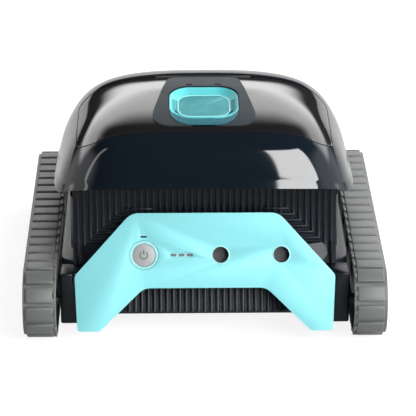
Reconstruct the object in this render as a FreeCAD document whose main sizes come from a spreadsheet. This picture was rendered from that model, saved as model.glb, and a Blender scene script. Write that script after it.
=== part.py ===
import FreeCAD, Part
import math
import os
import re
from types import SimpleNamespace

from FreeCAD import Placement, Rotation, Vector

# Cordless pool cleaner: a tub on two belt tracks, with a ribbed front cowl, a tilted front bezel
# with the controls, and a domed shroud whose hatch opens over the filter basket.
# Millimetres. +X is the machine's right seen from the front, +Y its rear, +Z up.
# The origin lies on the ground under the middle of the machine.

os.makedirs("parts", exist_ok=True)
doc = FreeCAD.newDocument("pool_cleaner")

# ---------------------------------------------------------------------------------------------
# Driving dimensions
# ---------------------------------------------------------------------------------------------
SIZES = [
    ("overall_width", 400.0), ("overall_length", 423.0), ("overall_height", 248.0),
    # tracks
    ("track_width", 36.6), ("track_radius", 41.5), ("pad_height", 3.0), ("band_height", 3.5),
    ("pad_width", 30.0), ("pad_groove", 4.5), ("pad_count", 42), ("wheel_gap", 0.3),
    ("wheel_width", 26.0), ("wheel_rim", 4.0), ("wheel_web", 4.0), ("hub_radius", 11.0),
    ("axle_radius", 5.0), ("running_fit", 0.05), ("cover_thickness", 3.0), ("rail_width", 24.0),
    ("cover_inset", 1.0), ("rail_clearance", 3.0), ("lightening_radius", 6.0), ("lightening_count", 5),
    ("rail_window_length", 38.0), ("rail_window_height", 34.0), ("rail_window_pitch", 70.0),
    # tub
    ("tub_side_gap", 3.8), ("tub_floor_height", 15.0), ("tub_top", 77.0), ("tub_wall", 3.0),
    ("tub_front_setback", 60.0), ("tub_rear_margin", 23.0), ("tub_corner", 24.0),
    ("housing_half_width", 150.0), ("housing_top", 142.0), ("housing_front_setback", 78.0),
    ("housing_rear_margin", 53.0), ("housing_rear_corner", 72.0), ("housing_wall", 3.0),
    ("housing_clearance", 1.0),
    ("flange_thickness", 2.0), ("joint_gap", 0.2), ("passage_clearance", 1.0),
    # roller brush
    ("brush_setback", 91.0), ("brush_height", 24.0), ("brush_radius", 20.5), ("core_radius", 11.0),
    ("core_wall", 2.0), ("brush_half_length", 138.0), ("brush_clearance", 2.5), ("fin_count", 8),
    ("fin_thickness", 2.0), ("tunnel_roof", 3.5), ("stub_radius", 4.0), ("stub_length", 16.0),
    # suction
    ("mouth_offset", 80.0), ("mouth_width", 60.0), ("mouth_depth", 30.0), ("chute_wall", 3.0),
    ("mouth_setback", 149.5), ("flap_thickness", 1.6), ("flap_pin_radius", 1.0),
    # pump column
    ("pump_setback", 129.0), ("motor_radius", 36.0), ("motor_height", 66.0), ("motor_wall", 3.5),
    ("duct_outer_radius", 35.0), ("duct_wall", 3.0), ("impeller_radius", 29.0),
    ("impeller_height", 16.0), ("blade_count", 5), ("blade_thickness", 2.0), ("shaft_radius", 3.0),
    # basket
    ("basket_half_width", 118.0), ("basket_floor_height", 72.0), ("basket_top", 192.0),
    ("basket_wall", 2.5), ("well_gap", 3.0), ("mesh_thickness", 1.2),
    # battery, electronics, drives
    ("battery_width", 170.0), ("battery_length", 96.0), ("battery_height", 52.0),
    ("battery_setback", 252.0), ("battery_wall", 2.5), ("cell_radius", 9.2), ("gearbox_radius", 13.5),
    ("motor_clearance", 1.5),
    ("gearbox_length", 88.0), ("case_width", 130.0), ("case_height", 22.0), ("case_length", 76.0),
    ("case_wall", 2.5), ("board_thickness", 1.6), ("lid_thickness", 2.5),
    # front bezel
    ("bezel_tilt", 22.5), ("bezel_setback", 7.0), ("bezel_foot_height", 18.0),
    ("bezel_length", 130.0), ("bezel_half_width", 143.5), ("bezel_top_half_width", 81.1),
    ("bezel_shoulder", 61.2), ("bezel_foot_half_width", 140.6), ("bezel_thickness", 4.0),
    ("arch_height", 47.4), ("arch_half_width", 67.3), ("arch_foot_half_width", 116.2),
    ("control_height", 83.7), ("button_offset", 67.2), ("switch_radius", 3.5),
    ("button_radius", 12.5), ("button_ring_radius", 16.3), ("button_travel", 1.2),
    ("port_inner_offset", 17.3), ("port_outer_offset", 84.2), ("port_radius", 8.7),
    ("port_wall", 2.0), ("port_depth", 9.0), ("led_drop", 20.3), ("led_width", 7.0),
    ("gauge_offset", 25.7), ("gauge_width", 26.0), ("gauge_height", 5.0), ("seat_gap", 0.15),
    # ribbed cowl and corner blocks
    ("cowl_half_width", 145.5), ("cowl_wall", 3.0), ("skid_height", 24.0), ("rib_pitch", 7.0),
    ("rib_height", 3.0), ("rib_width", 3.2), ("corner_block_top", 77.0), ("corner_block_foot", 17.0),
    ("corner_block_inner", 118.0), ("corner_block_setback", 30.0),
    # shroud, hatch and outlet
    ("shell_wall", 2.5), ("spine_rise", 1.4), ("hatch_setback", 75.0), ("hatch_rear", 203.0),
    ("hatch_half_width", 141.0), ("hatch_corner", 26.0), ("hatch_gap", 2.2), ("hinge_gap", 5.0),
    ("knuckle_radius", 2.1), ("hinge_pin_radius", 1.1), ("hinge_half_length", 54.0),
    ("dome_waist", 176.0), ("outlet_width", 78.0), ("outlet_depth", 72.0), ("outlet_corner", 24.0),
    ("outlet_tilt", 8.0),
    ("outlet_rim_height", 241.0), ("cup_depth", 5.5), ("cup_floor_width", 58.0),
    ("cup_floor_depth", 50.0), ("outlet_floor", 2.5), ("outlet_skirt", 8.0), ("slot_width", 3.4),
    ("slot_pitch", 7.0), ("spine_rear_half_width", 39.0), ("spine_waist_half_width", 45.0),
    ("spine_front_half_width", 61.0), ("spine_margin", 8.0),
]

# Plan of the dome, level by level: drop from the top, setback of its front from the machine's
# front, margin of its rear from the machine's rear, and margin of its sides from the tracks' sides.
DOME_LEVELS = [
    (140.0, 34.0, 23.0, 32.0), (118.0, 35.0, 27.0, 32.0), (98.0, 37.0, 34.0, 34.0),
    (74.0, 42.0, 53.0, 41.0), (48.0, 49.0, 83.0, 53.0), (33.0, 58.0, 111.0, 63.0),
    (20.0, 75.0, 143.0, 76.0), (12.0, 98.0, 168.0, 91.0), (6.0, 125.0, 193.0, 110.0),
    (2.0, 150.0, 218.0, 134.0), (0.0, 166.0, 236.0, 172.0),
]
for level, row in enumerate(DOME_LEVELS):
    for word, number in zip(("drop", "front", "rear", "side"), row):
        SIZES.append((f"dome_{word}_{level}", number))

sheet = doc.addObject("Spreadsheet::Sheet", "sizes")
for row, (alias, number) in enumerate(SIZES, start=1):
    sheet.set(f"A{row}", alias)
    sheet.set(f"B{row}", str(number))
    sheet.setAlias(f"B{row}", alias)
doc.recompute()
size = SimpleNamespace(**{alias: float(sheet.get(alias)) for alias, number in SIZES})
ALIASES = {alias for alias, number in SIZES}

front = -size.overall_length / 2
wheel_y = size.overall_length / 2 - size.track_radius
tub_half_width = size.overall_width / 2 - size.track_width - size.tub_side_gap
pump_y = front + size.pump_setback
HOUSING_LEVEL = 2       # the dome's level just above the upper housing
SIDES = (("left", -1), ("right", 1))
pieces = []


FRONT_POWER = 5.0            # the dome's front half is squarish
REAR_POWER = 2.6
REAR_POWER_GAIN = 0.012      # its rear half gets squarer with each millimetre below the top


def dome_span(level):
    """A dome level's waist, half width, reaches to front and rear, and the rear half's power."""
    values = vars(size)
    waist = front + size.dome_waist
    half = size.overall_width / 2 - values[f"dome_side_{level}"]
    fore = waist - (front + values[f"dome_front_{level}"])
    rear = -front - values[f"dome_rear_{level}"] - waist
    power = REAR_POWER + REAR_POWER_GAIN * min(values[f"dome_drop_{level}"], 100.0)
    return waist, half, fore, rear, power


# ---------------------------------------------------------------------------------------------
# Ways of making a piece
# ---------------------------------------------------------------------------------------------
def cells(text):
    """An expression written with the sheet's names, as the document's own expressions need it."""
    return re.sub(r"[a-z_]+[a-z0-9_]*", lambda word: "sizes." + word[0]
                  if word[0] in ALIASES else word[0], str(text))


def bind(thing, **places):
    for path, text in places.items():
        thing.setExpression(path.replace("__", "."), cells(text))
    return thing


def keep(thing, label):
    """Name a finished sub-part: the label is also its file's name."""
    thing.Label = label
    pieces.append(thing)
    return thing


def box(name, x, y, z, length, width, height):
    """A block from its lowest corner, every size and place an expression."""
    block = doc.addObject("Part::Box", name)
    bind(block, Length=length, Width=width, Height=height)
    return bind(block, Placement__Base__x=x, Placement__Base__y=y, Placement__Base__z=z)


TURNS = {"x": Rotation(Vector(0, 1, 0), 90), "y": Rotation(Vector(1, 0, 0), -90), "z": Rotation()}


def rod(name, x, y, z, radius, length, axis="z"):
    """A round rod that starts at a point and runs along +X, +Y or +Z."""
    bar = doc.addObject("Part::Cylinder", name)
    bar.Placement = Placement(Vector(), TURNS[axis])
    bind(bar, Radius=radius, Height=length)
    return bind(bar, Placement__Base__x=x, Placement__Base__y=y, Placement__Base__z=z)


def joined(name, shapes):
    fusion = doc.addObject("Part::MultiFuse", name)
    fusion.Shapes = shapes
    return fusion


def less(name, base, tools):
    """A piece with holes or pockets: the base less its tools."""
    tool = tools[0] if len(tools) == 1 else joined(name + "_tools", tools)
    cut = doc.addObject("Part::Cut", name)
    cut.Base = base
    cut.Tool = tool
    return cut


def grouped(label, things):
    """Like pieces that share one node, each still a solid of its own."""
    group = doc.addObject("Part::Compound", label + "_group")
    group.Links = things
    return keep(group, label)


def shaped(name, shape, place=None):
    """A piece whose form neither sketches nor primitives make."""
    thing = doc.addObject("Part::Feature", name)
    thing.Shape = shape
    if place is not None:
        thing.Placement = place
    return thing


def rounded_outline(corners):
    """Lines and arcs round a closed outline of corners given as (x, y, radius)."""
    starts = []
    ends = []
    middles = []
    count = len(corners)
    for index, (x, y, radius) in enumerate(corners):
        corner = Vector(x, y, 0)
        before = Vector(*corners[index - 1][:2], 0) - corner
        after = Vector(*corners[(index + 1) % count][:2], 0) - corner
        before.normalize()
        after.normalize()
        half = before.getAngle(after) / 2
        reach = radius / math.tan(half)
        bisector = before + after
        bisector.normalize()
        starts.append(corner + before * reach)
        ends.append(corner + after * reach)
        middles.append(corner + bisector * (radius / math.sin(half) - radius))
    edges = []
    for index in range(count):
        if corners[index][2] > 0:
            edges.append(Part.Arc(starts[index], middles[index], ends[index]))
        following = (index + 1) % count
        if ends[index].distanceToPoint(starts[following]) > 1e-6:
            edges.append(Part.LineSegment(ends[index], starts[following]))
    return edges


def rounded_rectangle(width, depth, radius, x=0.0, y=0.0):
    corners = [(x + sx * width / 2, y + sy * depth / 2, radius)
               for sx, sy in ((-1, -1), (1, -1), (1, 1), (-1, 1))]
    return rounded_outline(corners)


def face_of(edges, z=0.0):
    face = Part.Face(Part.Wire(Part.__sortEdges__([edge.toShape() for edge in edges])))
    face.translate(Vector(0, 0, z))
    return face


def origin_plane(body, role):
    return [plane for plane in body.Origin.OriginFeatures if plane.Role == role][0]


def sketch_on(body, name, geometry, role="XY_Plane", lift=0.0):
    sketch = body.newObject("Sketcher::SketchObject", name)
    sketch.AttachmentSupport = [(origin_plane(body, role), "")]
    sketch.MapMode = "FlatFace"
    sketch.AttachmentOffset = Placement(Vector(0, 0, lift), Rotation())
    sketch.addGeometry(geometry, False)
    return sketch


def plate(name, geometry, thickness, place, downwards=False, role="XY_Plane"):
    """A flat piece padded from an outline; thickness is an expression."""
    body = doc.addObject("PartDesign::Body", name)
    pad = body.newObject("PartDesign::Pad", name + "_pad")
    pad.Profile = sketch_on(body, name + "_outline", geometry, role)
    bind(pad, Length=thickness)
    pad.Reversed = downwards
    body.Placement = place
    return body


def pocket(body, name, geometry, depth, role="XY_Plane", lift=0.0):
    """A pocket below its sketch, checked to have removed something."""
    doc.recompute()
    before = body.Shape.Volume
    hollow = body.newObject("PartDesign::Pocket", name)
    hollow.Profile = sketch_on(body, name + "_outline", geometry, role, lift)
    bind(hollow, Length=depth)
    doc.recompute()
    if body.Shape.Volume > before - 1e-3:
        raise ValueError(f"{name} removes nothing")
    return hollow


def turned(name, profile, place):
    """A round piece turned about its own X axis from (distance, radius) points."""
    body = doc.addObject("PartDesign::Body", name)
    points = [Vector(along, radius, 0) for along, radius in profile]
    loop = [Part.LineSegment(points[index - 1], points[index]) for index in range(len(points))]
    turn = body.newObject("PartDesign::Revolution", name + "_turn")
    sketch = sketch_on(body, name + "_profile", loop)
    turn.Profile = sketch
    turn.ReferenceAxis = (sketch, ["H_Axis"])
    turn.Angle = 360
    body.Placement = place
    return body


def ring_profile(start, end, inner, outer):
    return [(start, inner), (end, inner), (end, outer), (start, outer)]


UP = Rotation(Vector(0, 1, 0), -90)      # turns a piece's X axis to +Z


def at(x, y, z, turn=None):
    return Placement(Vector(x, y, z), turn or Rotation())


# ---------------------------------------------------------------------------------------------
# Tracks: each side has a closed rubber belt with raised pads round two wheels
# ---------------------------------------------------------------------------------------------
def loop_point(distance, radius):
    """A point on the stadium loop, a distance along its outer path from its foremost point."""
    quarter = math.pi * size.track_radius / 2
    run = 2 * wheel_y
    distance = distance % (4 * quarter + 2 * run)
    if distance < quarter:
        angle = distance / size.track_radius
        return Vector(0, -wheel_y - radius * math.cos(angle), radius * math.sin(angle))
    if distance < quarter + run:
        return Vector(0, -wheel_y + distance - quarter, radius)
    if distance < 3 * quarter + run:
        angle = (distance - quarter - run) / size.track_radius
        return Vector(0, wheel_y + radius * math.sin(angle), radius * math.cos(angle))
    if distance < 3 * quarter + 2 * run:
        return Vector(0, wheel_y - (distance - 3 * quarter - run), -radius)
    angle = (distance - 3 * quarter - 2 * run) / size.track_radius
    return Vector(0, -wheel_y - radius * math.sin(angle), -radius * math.cos(angle))


def stadium(radius):
    """A level oval about the two wheel centres, in the YZ plane."""
    tops = [Vector(0, -wheel_y, radius), Vector(0, wheel_y, radius)]
    feet = [Vector(0, wheel_y, -radius), Vector(0, -wheel_y, -radius)]
    rear = Part.Arc(tops[1], Vector(0, wheel_y + radius, 0), feet[0])
    nose = Part.Arc(feet[1], Vector(0, -wheel_y - radius, 0), tops[0])
    edges = [Part.LineSegment(tops[0], tops[1]), rear, Part.LineSegment(feet[0], feet[1]), nose]
    return Part.Face(Part.Wire([edge.toShape() for edge in edges]))


def track_belt():
    """The band and the ring of pads standing on it, centred on X = 0."""
    band_radius = size.track_radius - size.pad_height
    inner_radius = band_radius - size.band_height
    path = 4 * wheel_y + 2 * math.pi * size.track_radius
    pitch = path / size.pad_count
    pad_half = (pitch - size.pad_groove) / 2
    steps = 4
    points = []
    for number in range(int(size.pad_count)):
        middle = number * pitch
        points.append(loop_point(middle - pad_half, band_radius - 0.5))
        for step in range(steps + 1):
            place = middle - pad_half + 2 * pad_half * step / steps
            points.append(loop_point(place, size.track_radius))
        points.append(loop_point(middle + pad_half, band_radius - 0.5))
    toothed = Part.Face(Part.makePolygon(points + [points[0]])).cut(stadium(inner_radius))
    pads = toothed.extrude(Vector(size.pad_width, 0, 0))
    pads.translate(Vector(-size.pad_width / 2, 0, 0))
    band = stadium(band_radius).cut(stadium(inner_radius)).extrude(Vector(size.track_width, 0, 0))
    band.translate(Vector(-size.track_width / 2, 0, 0))
    return band.fuse(pads).removeSplitter()


track_x = (size.overall_width - size.track_width) / 2
belt = track_belt()
rim_radius = size.track_radius - size.pad_height - size.band_height - size.wheel_gap
bore = size.axle_radius + size.running_fit
half_rim = size.wheel_width / 2
wheel_profile = [
    (-half_rim, bore), (half_rim, bore), (half_rim, size.hub_radius),
    (size.wheel_web / 2, size.hub_radius), (size.wheel_web / 2, rim_radius - size.wheel_rim),
    (half_rim, rim_radius - size.wheel_rim), (half_rim, rim_radius), (-half_rim, rim_radius),
    (-half_rim, rim_radius - size.wheel_rim), (-size.wheel_web / 2, rim_radius - size.wheel_rim),
    (-size.wheel_web / 2, size.hub_radius), (-half_rim, size.hub_radius),
]
cover_edge = rim_radius - size.cover_inset
rail_reach = wheel_y - rim_radius - size.rail_clearance
rails = []
for side, sign in SIDES:
    keep(shaped("track_belt_" + side, belt, at(sign * track_x, 0, size.track_radius)),
         "track_belt_" + side)
    for kind, y in (("idler", -wheel_y), ("drive", wheel_y)):
        wheel = turned(f"{kind}_wheel_{side}", wheel_profile, at(sign * track_x, y, size.track_radius))
        for number in range(int(size.lightening_count)):
            angle = 2 * math.pi * number / size.lightening_count
            reach = (rim_radius - size.wheel_rim + size.hub_radius) / 2
            hole = Part.Circle(Vector(reach * math.cos(angle), reach * math.sin(angle), 0),
                               Vector(0, 0, 1), size.lightening_radius)
            pocket(wheel, f"{kind}_{side}_lightening_{number}", [hole], "wheel_web * 2",
                   role="YZ_Plane", lift=size.wheel_web)
        keep(wheel, f"{kind}_wheel_{side}")
    # a rail between the wheels keeps the belt's runs apart
    rail = plate("track_rail_" + side, rounded_rectangle(2 * rail_reach, 2 * rim_radius - 4.0, 12.0),
                 "rail_width", at(sign * track_x - size.rail_width / 2, 0, size.track_radius),
                 role="YZ_Plane")
    for number in (-1, 0, 1):
        window = rounded_rectangle(size.rail_window_length, size.rail_window_height, 8.0,
                                   number * size.rail_window_pitch, 0)
        pocket(rail, f"rail_window_{side}_{number + 1}", window, "rail_width + 2", role="YZ_Plane",
               lift=size.rail_width + 1)
    rails.append(rail)
    # outer cover: hides the wheels and rail, inside the belt's loop
    outer = sign * (size.overall_width / 2 - size.cover_inset)
    cover_x = outer - size.cover_thickness if sign > 0 else outer
    cover = plate("side_cover_" + side,
                  rounded_rectangle(2 * (wheel_y + cover_edge), 2 * cover_edge, cover_edge - 0.01),
                  "cover_thickness", at(cover_x, 0, size.track_radius), role="YZ_Plane")
    keep(cover, "side_cover_" + side)
grouped("track_rails", rails)


# ---------------------------------------------------------------------------------------------
# Tub: floor, walls, brush tunnel and suction mouths in one moulding
# ---------------------------------------------------------------------------------------------
tub_front = front + size.tub_front_setback
# the tub reaches back to its margin, or as far as the drive motors on the wheels' axis need
motor_rear = wheel_y + size.gearbox_radius + size.motor_clearance
tub_rear = max(-front - size.tub_rear_margin, motor_rear + size.tub_wall)
brush_y = front + size.brush_setback
tunnel_radius = size.brush_radius + size.brush_clearance
tunnel_half = tunnel_radius + size.tub_wall
tunnel_top = size.brush_height + tunnel_radius + size.tunnel_roof
mouth_y = front + size.mouth_setback
tub_middle = (tub_front + tub_rear) / 2
tub = plate("tub_moulding", rounded_rectangle(2 * tub_half_width, tub_rear - tub_front,
                                              size.tub_corner, 0, tub_middle),
            "tub_top - tub_floor_height", at(0, 0, size.tub_floor_height))
inside = rounded_rectangle(2 * (tub_half_width - size.tub_wall),
                           tub_rear - tub_front - 2 * size.tub_wall,
                           size.tub_corner - size.tub_wall, 0, tub_middle)
pocket(tub, "tub_inside", inside, "tub_top - tub_floor_height - tub_wall",
       lift=size.tub_top - size.tub_floor_height)
tunnel = box("brush_tunnel", -tub_half_width + 0.5, brush_y - tunnel_half,
             "tub_floor_height", 2 * tub_half_width - 1.0, 2 * tunnel_half,
             tunnel_top - size.tub_floor_height)
tunnel_space = rod("tunnel_space", "-brush_half_length - 2", brush_y, "brush_height",
                   tunnel_radius, "2 * brush_half_length + 4", axis="x")
tunnel_mouth = box("tunnel_mouth", "-brush_half_length - 2", brush_y - tunnel_radius, 0,
                   "2 * brush_half_length + 4", 2 * tunnel_radius, "brush_height")
tub_tools = [tunnel_space, tunnel_mouth]
for side, sign in SIDES:
    tub_tools.append(box("mouth_" + side, f"{sign} * mouth_offset - mouth_width / 2",
                         mouth_y - size.mouth_depth / 2, 0, "mouth_width", "mouth_depth",
                         "tub_floor_height + tub_wall + 1"))
    start = "-overall_width / 2" if sign < 0 else "brush_half_length"
    tub_tools.append(rod("brush_passage_" + side, start, brush_y, "brush_height",
                         size.core_radius - 4.0, "overall_width / 2 - brush_half_length",
                         axis="x"))
    for y, word in ((-wheel_y, "idler"), (wheel_y, "drive")):
        if word == "drive":
            start = "-overall_width / 2" if sign < 0 else tub_half_width - 8
            tub_tools.append(rod("shaft_passage_" + side, start, y, "track_radius",
                                 "axle_radius + passage_clearance",
                                 size.overall_width / 2 - tub_half_width + 8, axis="x"))
keep(less("tub_body", joined("tub_with_tunnel", [tub, tunnel]), tub_tools), "tub")

# Upper housing: a ring of walls that carries the shroud over the tub
housing_front = front + size.housing_front_setback
housing_rear = -front - size.housing_rear_margin
housing_foot = size.tub_top + size.joint_gap


def clears_shroud(corner):
    """Whether rear corners of this radius stay inside the shroud at the housing's top."""
    waist, half, fore, rear, power = dome_span(HOUSING_LEVEL)
    spare = size.shell_wall + size.housing_clearance
    for step in range(19):
        angle = math.radians(5 * step)
        across = size.housing_half_width - corner + corner * math.cos(angle)
        along = housing_rear - waist - corner + corner * math.sin(angle)
        if (across / (half - spare)) ** power + (along / (rear - spare)) ** power > 1:
            return False
    return True


rear_corner = size.housing_rear_corner
while not clears_shroud(rear_corner):
    rear_corner += 1.0


def housing_plan(inset):
    """The housing's outline: small corners at the front, large ones under the shroud's rear."""
    half = size.housing_half_width - inset
    return rounded_outline([
        (-half, housing_front + inset, 30.0 - inset), (half, housing_front + inset, 30.0 - inset),
        (half, housing_rear - inset, rear_corner - inset),
        (-half, housing_rear - inset, rear_corner - inset)])


ring = plate("housing_ring", housing_plan(0), "housing_top - tub_top - joint_gap",
             at(0, 0, housing_foot))
flange = plate("housing_flange", rounded_rectangle(2 * tub_half_width, tub_rear - tub_front,
                                                   size.tub_corner, 0, tub_middle),
               "flange_thickness", at(0, 0, housing_foot))
core = plate("housing_core", housing_plan(size.housing_wall), "housing_top", at(0, 0, housing_foot - 1))
keep(less("housing_body", joined("housing_with_flange", [ring, flange]), [core]), "upper_housing")

idler_axles = []
drive_motors = []
for side, sign in SIDES:
    # idler axle, from the corner block into the wheel
    flange = sign * (tub_half_width + 0.1)
    tip = sign * (track_x + half_rim - 0.5)
    start, end = sorted((flange, tip))
    axle = turned("idler_axle_" + side, [(start, 0), (end, 0), (end, size.axle_radius),
                                         (start, size.axle_radius)],
                  at(0, -wheel_y, size.track_radius))
    idler_axles.append(axle)
    # geared drive motor inside the tub, and its output shaft through the wall into the wheel
    inner = tub_half_width - size.tub_corner      # clear of the tub's rounded corners
    start, end = sorted((sign * inner, sign * (inner - size.gearbox_length)))
    drive_motors.append(turned("drive_motor_body_" + side,
                               ring_profile(start, end, 0, size.gearbox_radius),
                               at(0, wheel_y, size.track_radius)))
    start, end = sorted((sign * (inner + size.joint_gap), sign * (track_x + half_rim - 0.5)))
    keep(turned("drive_shaft_rod_" + side, ring_profile(start, end, 0, size.axle_radius),
                at(0, wheel_y, size.track_radius)), "drive_shaft_" + side)
grouped("idler_axles", idler_axles)
grouped("drive_motors", drive_motors)

# ---------------------------------------------------------------------------------------------
# Roller brush in its tunnel
# ---------------------------------------------------------------------------------------------
core_half = size.brush_half_length - 4.0
keep(turned("brush_core_tube", ring_profile(-core_half, core_half,
                                            size.core_radius - size.core_wall, size.core_radius),
            at(0, brush_y, size.brush_height)), "brush_core")
fins = []
for number in range(int(size.fin_count)):
    fin = Part.makeBox(2 * core_half, size.fin_thickness, size.brush_radius - size.core_radius - 1.0,
                       Vector(-core_half, -size.fin_thickness / 2, size.core_radius + 1.0))
    fin.rotate(Vector(), Vector(1, 0, 0), 360 / size.fin_count * number)
    fins.append(fin)
sleeve = Part.makeCylinder(size.core_radius + 2.0, 2 * core_half, Vector(-core_half, 0, 0),
                           Vector(1, 0, 0))
hollow = Part.makeCylinder(size.core_radius + size.running_fit, 2 * core_half,
                           Vector(-core_half, 0, 0), Vector(1, 0, 0))
keep(shaped("brush_sleeve_fins", sleeve.fuse(fins).cut(hollow), at(0, brush_y, size.brush_height)),
     "brush_sleeve")
bushes = []
brush_ends = []
for side, sign in SIDES:
    # stub pin through a bush in the tub's side, into the brush's core
    bush_start, bush_end = sorted((sign * (size.brush_half_length + 0.5), sign * tub_half_width))
    bushes.append(turned("brush_bush_ring_" + side,
                         ring_profile(bush_start, bush_end, size.stub_radius + size.running_fit,
                                      size.core_radius - 4.05),
                         at(0, brush_y, size.brush_height)))
    inner_end = core_half - size.stub_length
    plug_radius = size.core_radius - size.core_wall - size.running_fit
    pin = [(sign * inner_end, 0), (sign * (tub_half_width - 1.0), 0),
           (sign * (tub_half_width - 1.0), size.stub_radius), (sign * core_half, size.stub_radius),
           (sign * core_half, plug_radius), (sign * inner_end, plug_radius)]
    brush_ends.append(turned("brush_end_" + side, pin, at(0, brush_y, size.brush_height)))
grouped("brush_bushes", bushes)
grouped("brush_ends", brush_ends)

# ---------------------------------------------------------------------------------------------
# Suction: chutes from the mouths up to the basket, with a hinged flap over each
# ---------------------------------------------------------------------------------------------
chute_floor = size.tub_floor_height + size.tub_wall + size.joint_gap
chutes = []
for side, sign in SIDES:
    outer = box("chute_block_" + side, f"{sign} * mouth_offset - mouth_width / 2 - chute_wall",
                mouth_y - size.mouth_depth / 2 - size.chute_wall, chute_floor,
                "mouth_width + 2 * chute_wall", "mouth_depth + 2 * chute_wall",
                size.basket_floor_height - size.joint_gap - chute_floor)
    space = box("chute_space_" + side, f"{sign} * mouth_offset - mouth_width / 2",
                mouth_y - size.mouth_depth / 2, 0, "mouth_width", "mouth_depth",
                "basket_floor_height + 10")
    chutes.append(less("chute_" + side, outer, [space]))
grouped("suction_chutes", chutes)

# Basket: open-topped, round the pump column, lifted out through the hatch
basket_front = pump_y - 45.5
basket_rear = front + size.hatch_rear - 6.0
basket_length = basket_rear - basket_front
well = size.duct_outer_radius + 1.0 + size.well_gap
basket_box = box("basket_box", "-basket_half_width", basket_front, "basket_floor_height",
                 "2 * basket_half_width", basket_length, "basket_top - basket_floor_height")
basket_inside = box("basket_inside", "-basket_half_width + basket_wall",
                    basket_front + size.basket_wall, "basket_floor_height + basket_wall",
                    "2 * basket_half_width - 2 * basket_wall",
                    basket_length - 2 * size.basket_wall, "basket_top")
well_wall = rod("well_wall", 0, pump_y, "basket_floor_height", well + 2.0,
                "basket_top - basket_floor_height")
well_space = rod("well_space", 0, pump_y, 0, well, "overall_height")
basket_tools = [well_space]
windows = []
window_foot = size.basket_floor_height + 18.0
window_height = size.basket_top - 14.0 - window_foot
for side, sign in SIDES:
    middle = sign * (size.basket_half_width + well) / 2
    half_span = (size.basket_half_width - well) / 2 - 9.0
    for word, y in (("front", basket_front - 1), ("rear", basket_rear - size.basket_wall - 1)):
        basket_tools.append(box(f"window_{word}_{side}", middle - half_span, y, window_foot,
                                2 * half_span, size.basket_wall + 2, window_height))
        depth = y + 1 + (size.basket_wall - size.mesh_thickness) / 2
        windows.append(box(f"mesh_{word}_{side}", middle - half_span + 0.1, depth,
                           window_foot + 0.1, 2 * half_span - 0.2, "mesh_thickness",
                           window_height - 0.2))
    basket_tools.append(box("basket_mouth_" + side, f"{sign} * mouth_offset - mouth_width / 2",
                            mouth_y - size.mouth_depth / 2, 0, "mouth_width", "mouth_depth",
                            "basket_floor_height + basket_wall + 1"))
shell = joined("basket_walls", [less("basket_shell", basket_box, [basket_inside]), well_wall])
keep(less("basket_body", shell, basket_tools), "filter_basket")
keep(joined("basket_meshes", windows), "filter_meshes")

flap_z = size.basket_floor_height + size.basket_wall + 0.4
flap_y = mouth_y + size.mouth_depth / 2 + 3.0
pin_z = flap_z + size.flap_pin_radius + 1.2
flap_pins = []
for side, sign in SIDES:
    middle = sign * size.mouth_offset
    leaf = box("flap_leaf_" + side, middle - size.mouth_width / 2 - 2.0,
               mouth_y - size.mouth_depth / 2 - 2.0, flap_z,
               "mouth_width + 4", flap_y - mouth_y + size.mouth_depth / 2 + 2.0,
               "flap_thickness")
    barrel = rod("flap_barrel_" + side, middle - size.mouth_width / 2 - 2.0, flap_y, pin_z,
                 "flap_pin_radius + 1.2", "mouth_width + 4", axis="x")
    bore_rod = rod("flap_bore_" + side, middle - size.mouth_width, flap_y, pin_z,
                   "flap_pin_radius + running_fit", "2 * mouth_width", axis="x")
    keep(less("flap_" + side, joined("flap_solid_" + side, [leaf, barrel]), [bore_rod]),
         "intake_flap_" + side)
    flap_pins.append(rod("flap_pin_rod_" + side, middle - size.mouth_width / 2 - 5.0, flap_y, pin_z,
                         "flap_pin_radius", "mouth_width + 10", axis="x"))
grouped("flap_pins", flap_pins)

# ---------------------------------------------------------------------------------------------
# Pump column: sealed motor can on the brush tunnel, impeller and duct above it
# ---------------------------------------------------------------------------------------------
can_foot = tunnel_top + 0.2
can_top = can_foot + size.motor_height
can_inner = size.motor_radius - size.motor_wall
lid_foot = size.motor_height - 6.0
can = [(0, 0), (size.motor_wall, 0), (size.motor_wall, can_inner), (lid_foot, can_inner),
       (lid_foot, size.motor_radius), (0, size.motor_radius)]
keep(turned("motor_can", can, at(0, pump_y, can_foot, UP)), "motor_housing")
lid = ring_profile(lid_foot + 0.1, size.motor_height, size.shaft_radius + size.running_fit,
                   size.motor_radius)
keep(turned("motor_lid_disc", lid, at(0, pump_y, can_foot, UP)), "motor_lid")
motor = ring_profile(size.motor_wall + 1.0, lid_foot - 3.0, 0, can_inner - 4.0)
keep(turned("pump_motor_body", motor, at(0, pump_y, can_foot, UP)), "pump_motor")
shaft_top = size.motor_height + 40.0
keep(turned("pump_shaft_rod", ring_profile(lid_foot - 2.5, shaft_top, 0, size.shaft_radius),
            at(0, pump_y, can_foot, UP)), "pump_shaft")
hub = Part.makeCylinder(9.0, size.impeller_height)
blades = []
for number in range(int(size.blade_count)):
    blade = Part.makeBox(size.impeller_radius - 7.0, size.blade_thickness, size.impeller_height - 2.0,
                         Vector(7.0, -size.blade_thickness / 2, 1.0))
    blade.rotate(Vector(18, 0, size.impeller_height / 2), Vector(1, 0, 0), 32)
    blade.rotate(Vector(), Vector(0, 0, 1), 360 / size.blade_count * number)
    blades.append(blade)
swept = Part.makeCylinder(size.impeller_radius, size.impeller_height)
shaft_bore = Part.makeCylinder(size.shaft_radius + size.running_fit, size.impeller_height)
keep(shaped("impeller_blades", hub.fuse(blades).common(swept).cut(shaft_bore),
            at(0, pump_y, can_top + 22.0)), "impeller")
duct_foot = can_top + size.joint_gap
duct_top = size.outlet_rim_height - size.cup_depth - size.outlet_floor - size.outlet_skirt - 12.0
duct = rod("duct_tube", 0, pump_y, duct_foot, "duct_outer_radius", duct_top - duct_foot)
duct_space = rod("duct_space", 0, pump_y, 0, "duct_outer_radius - duct_wall", "overall_height")
duct_tools = [duct_space]
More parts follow.
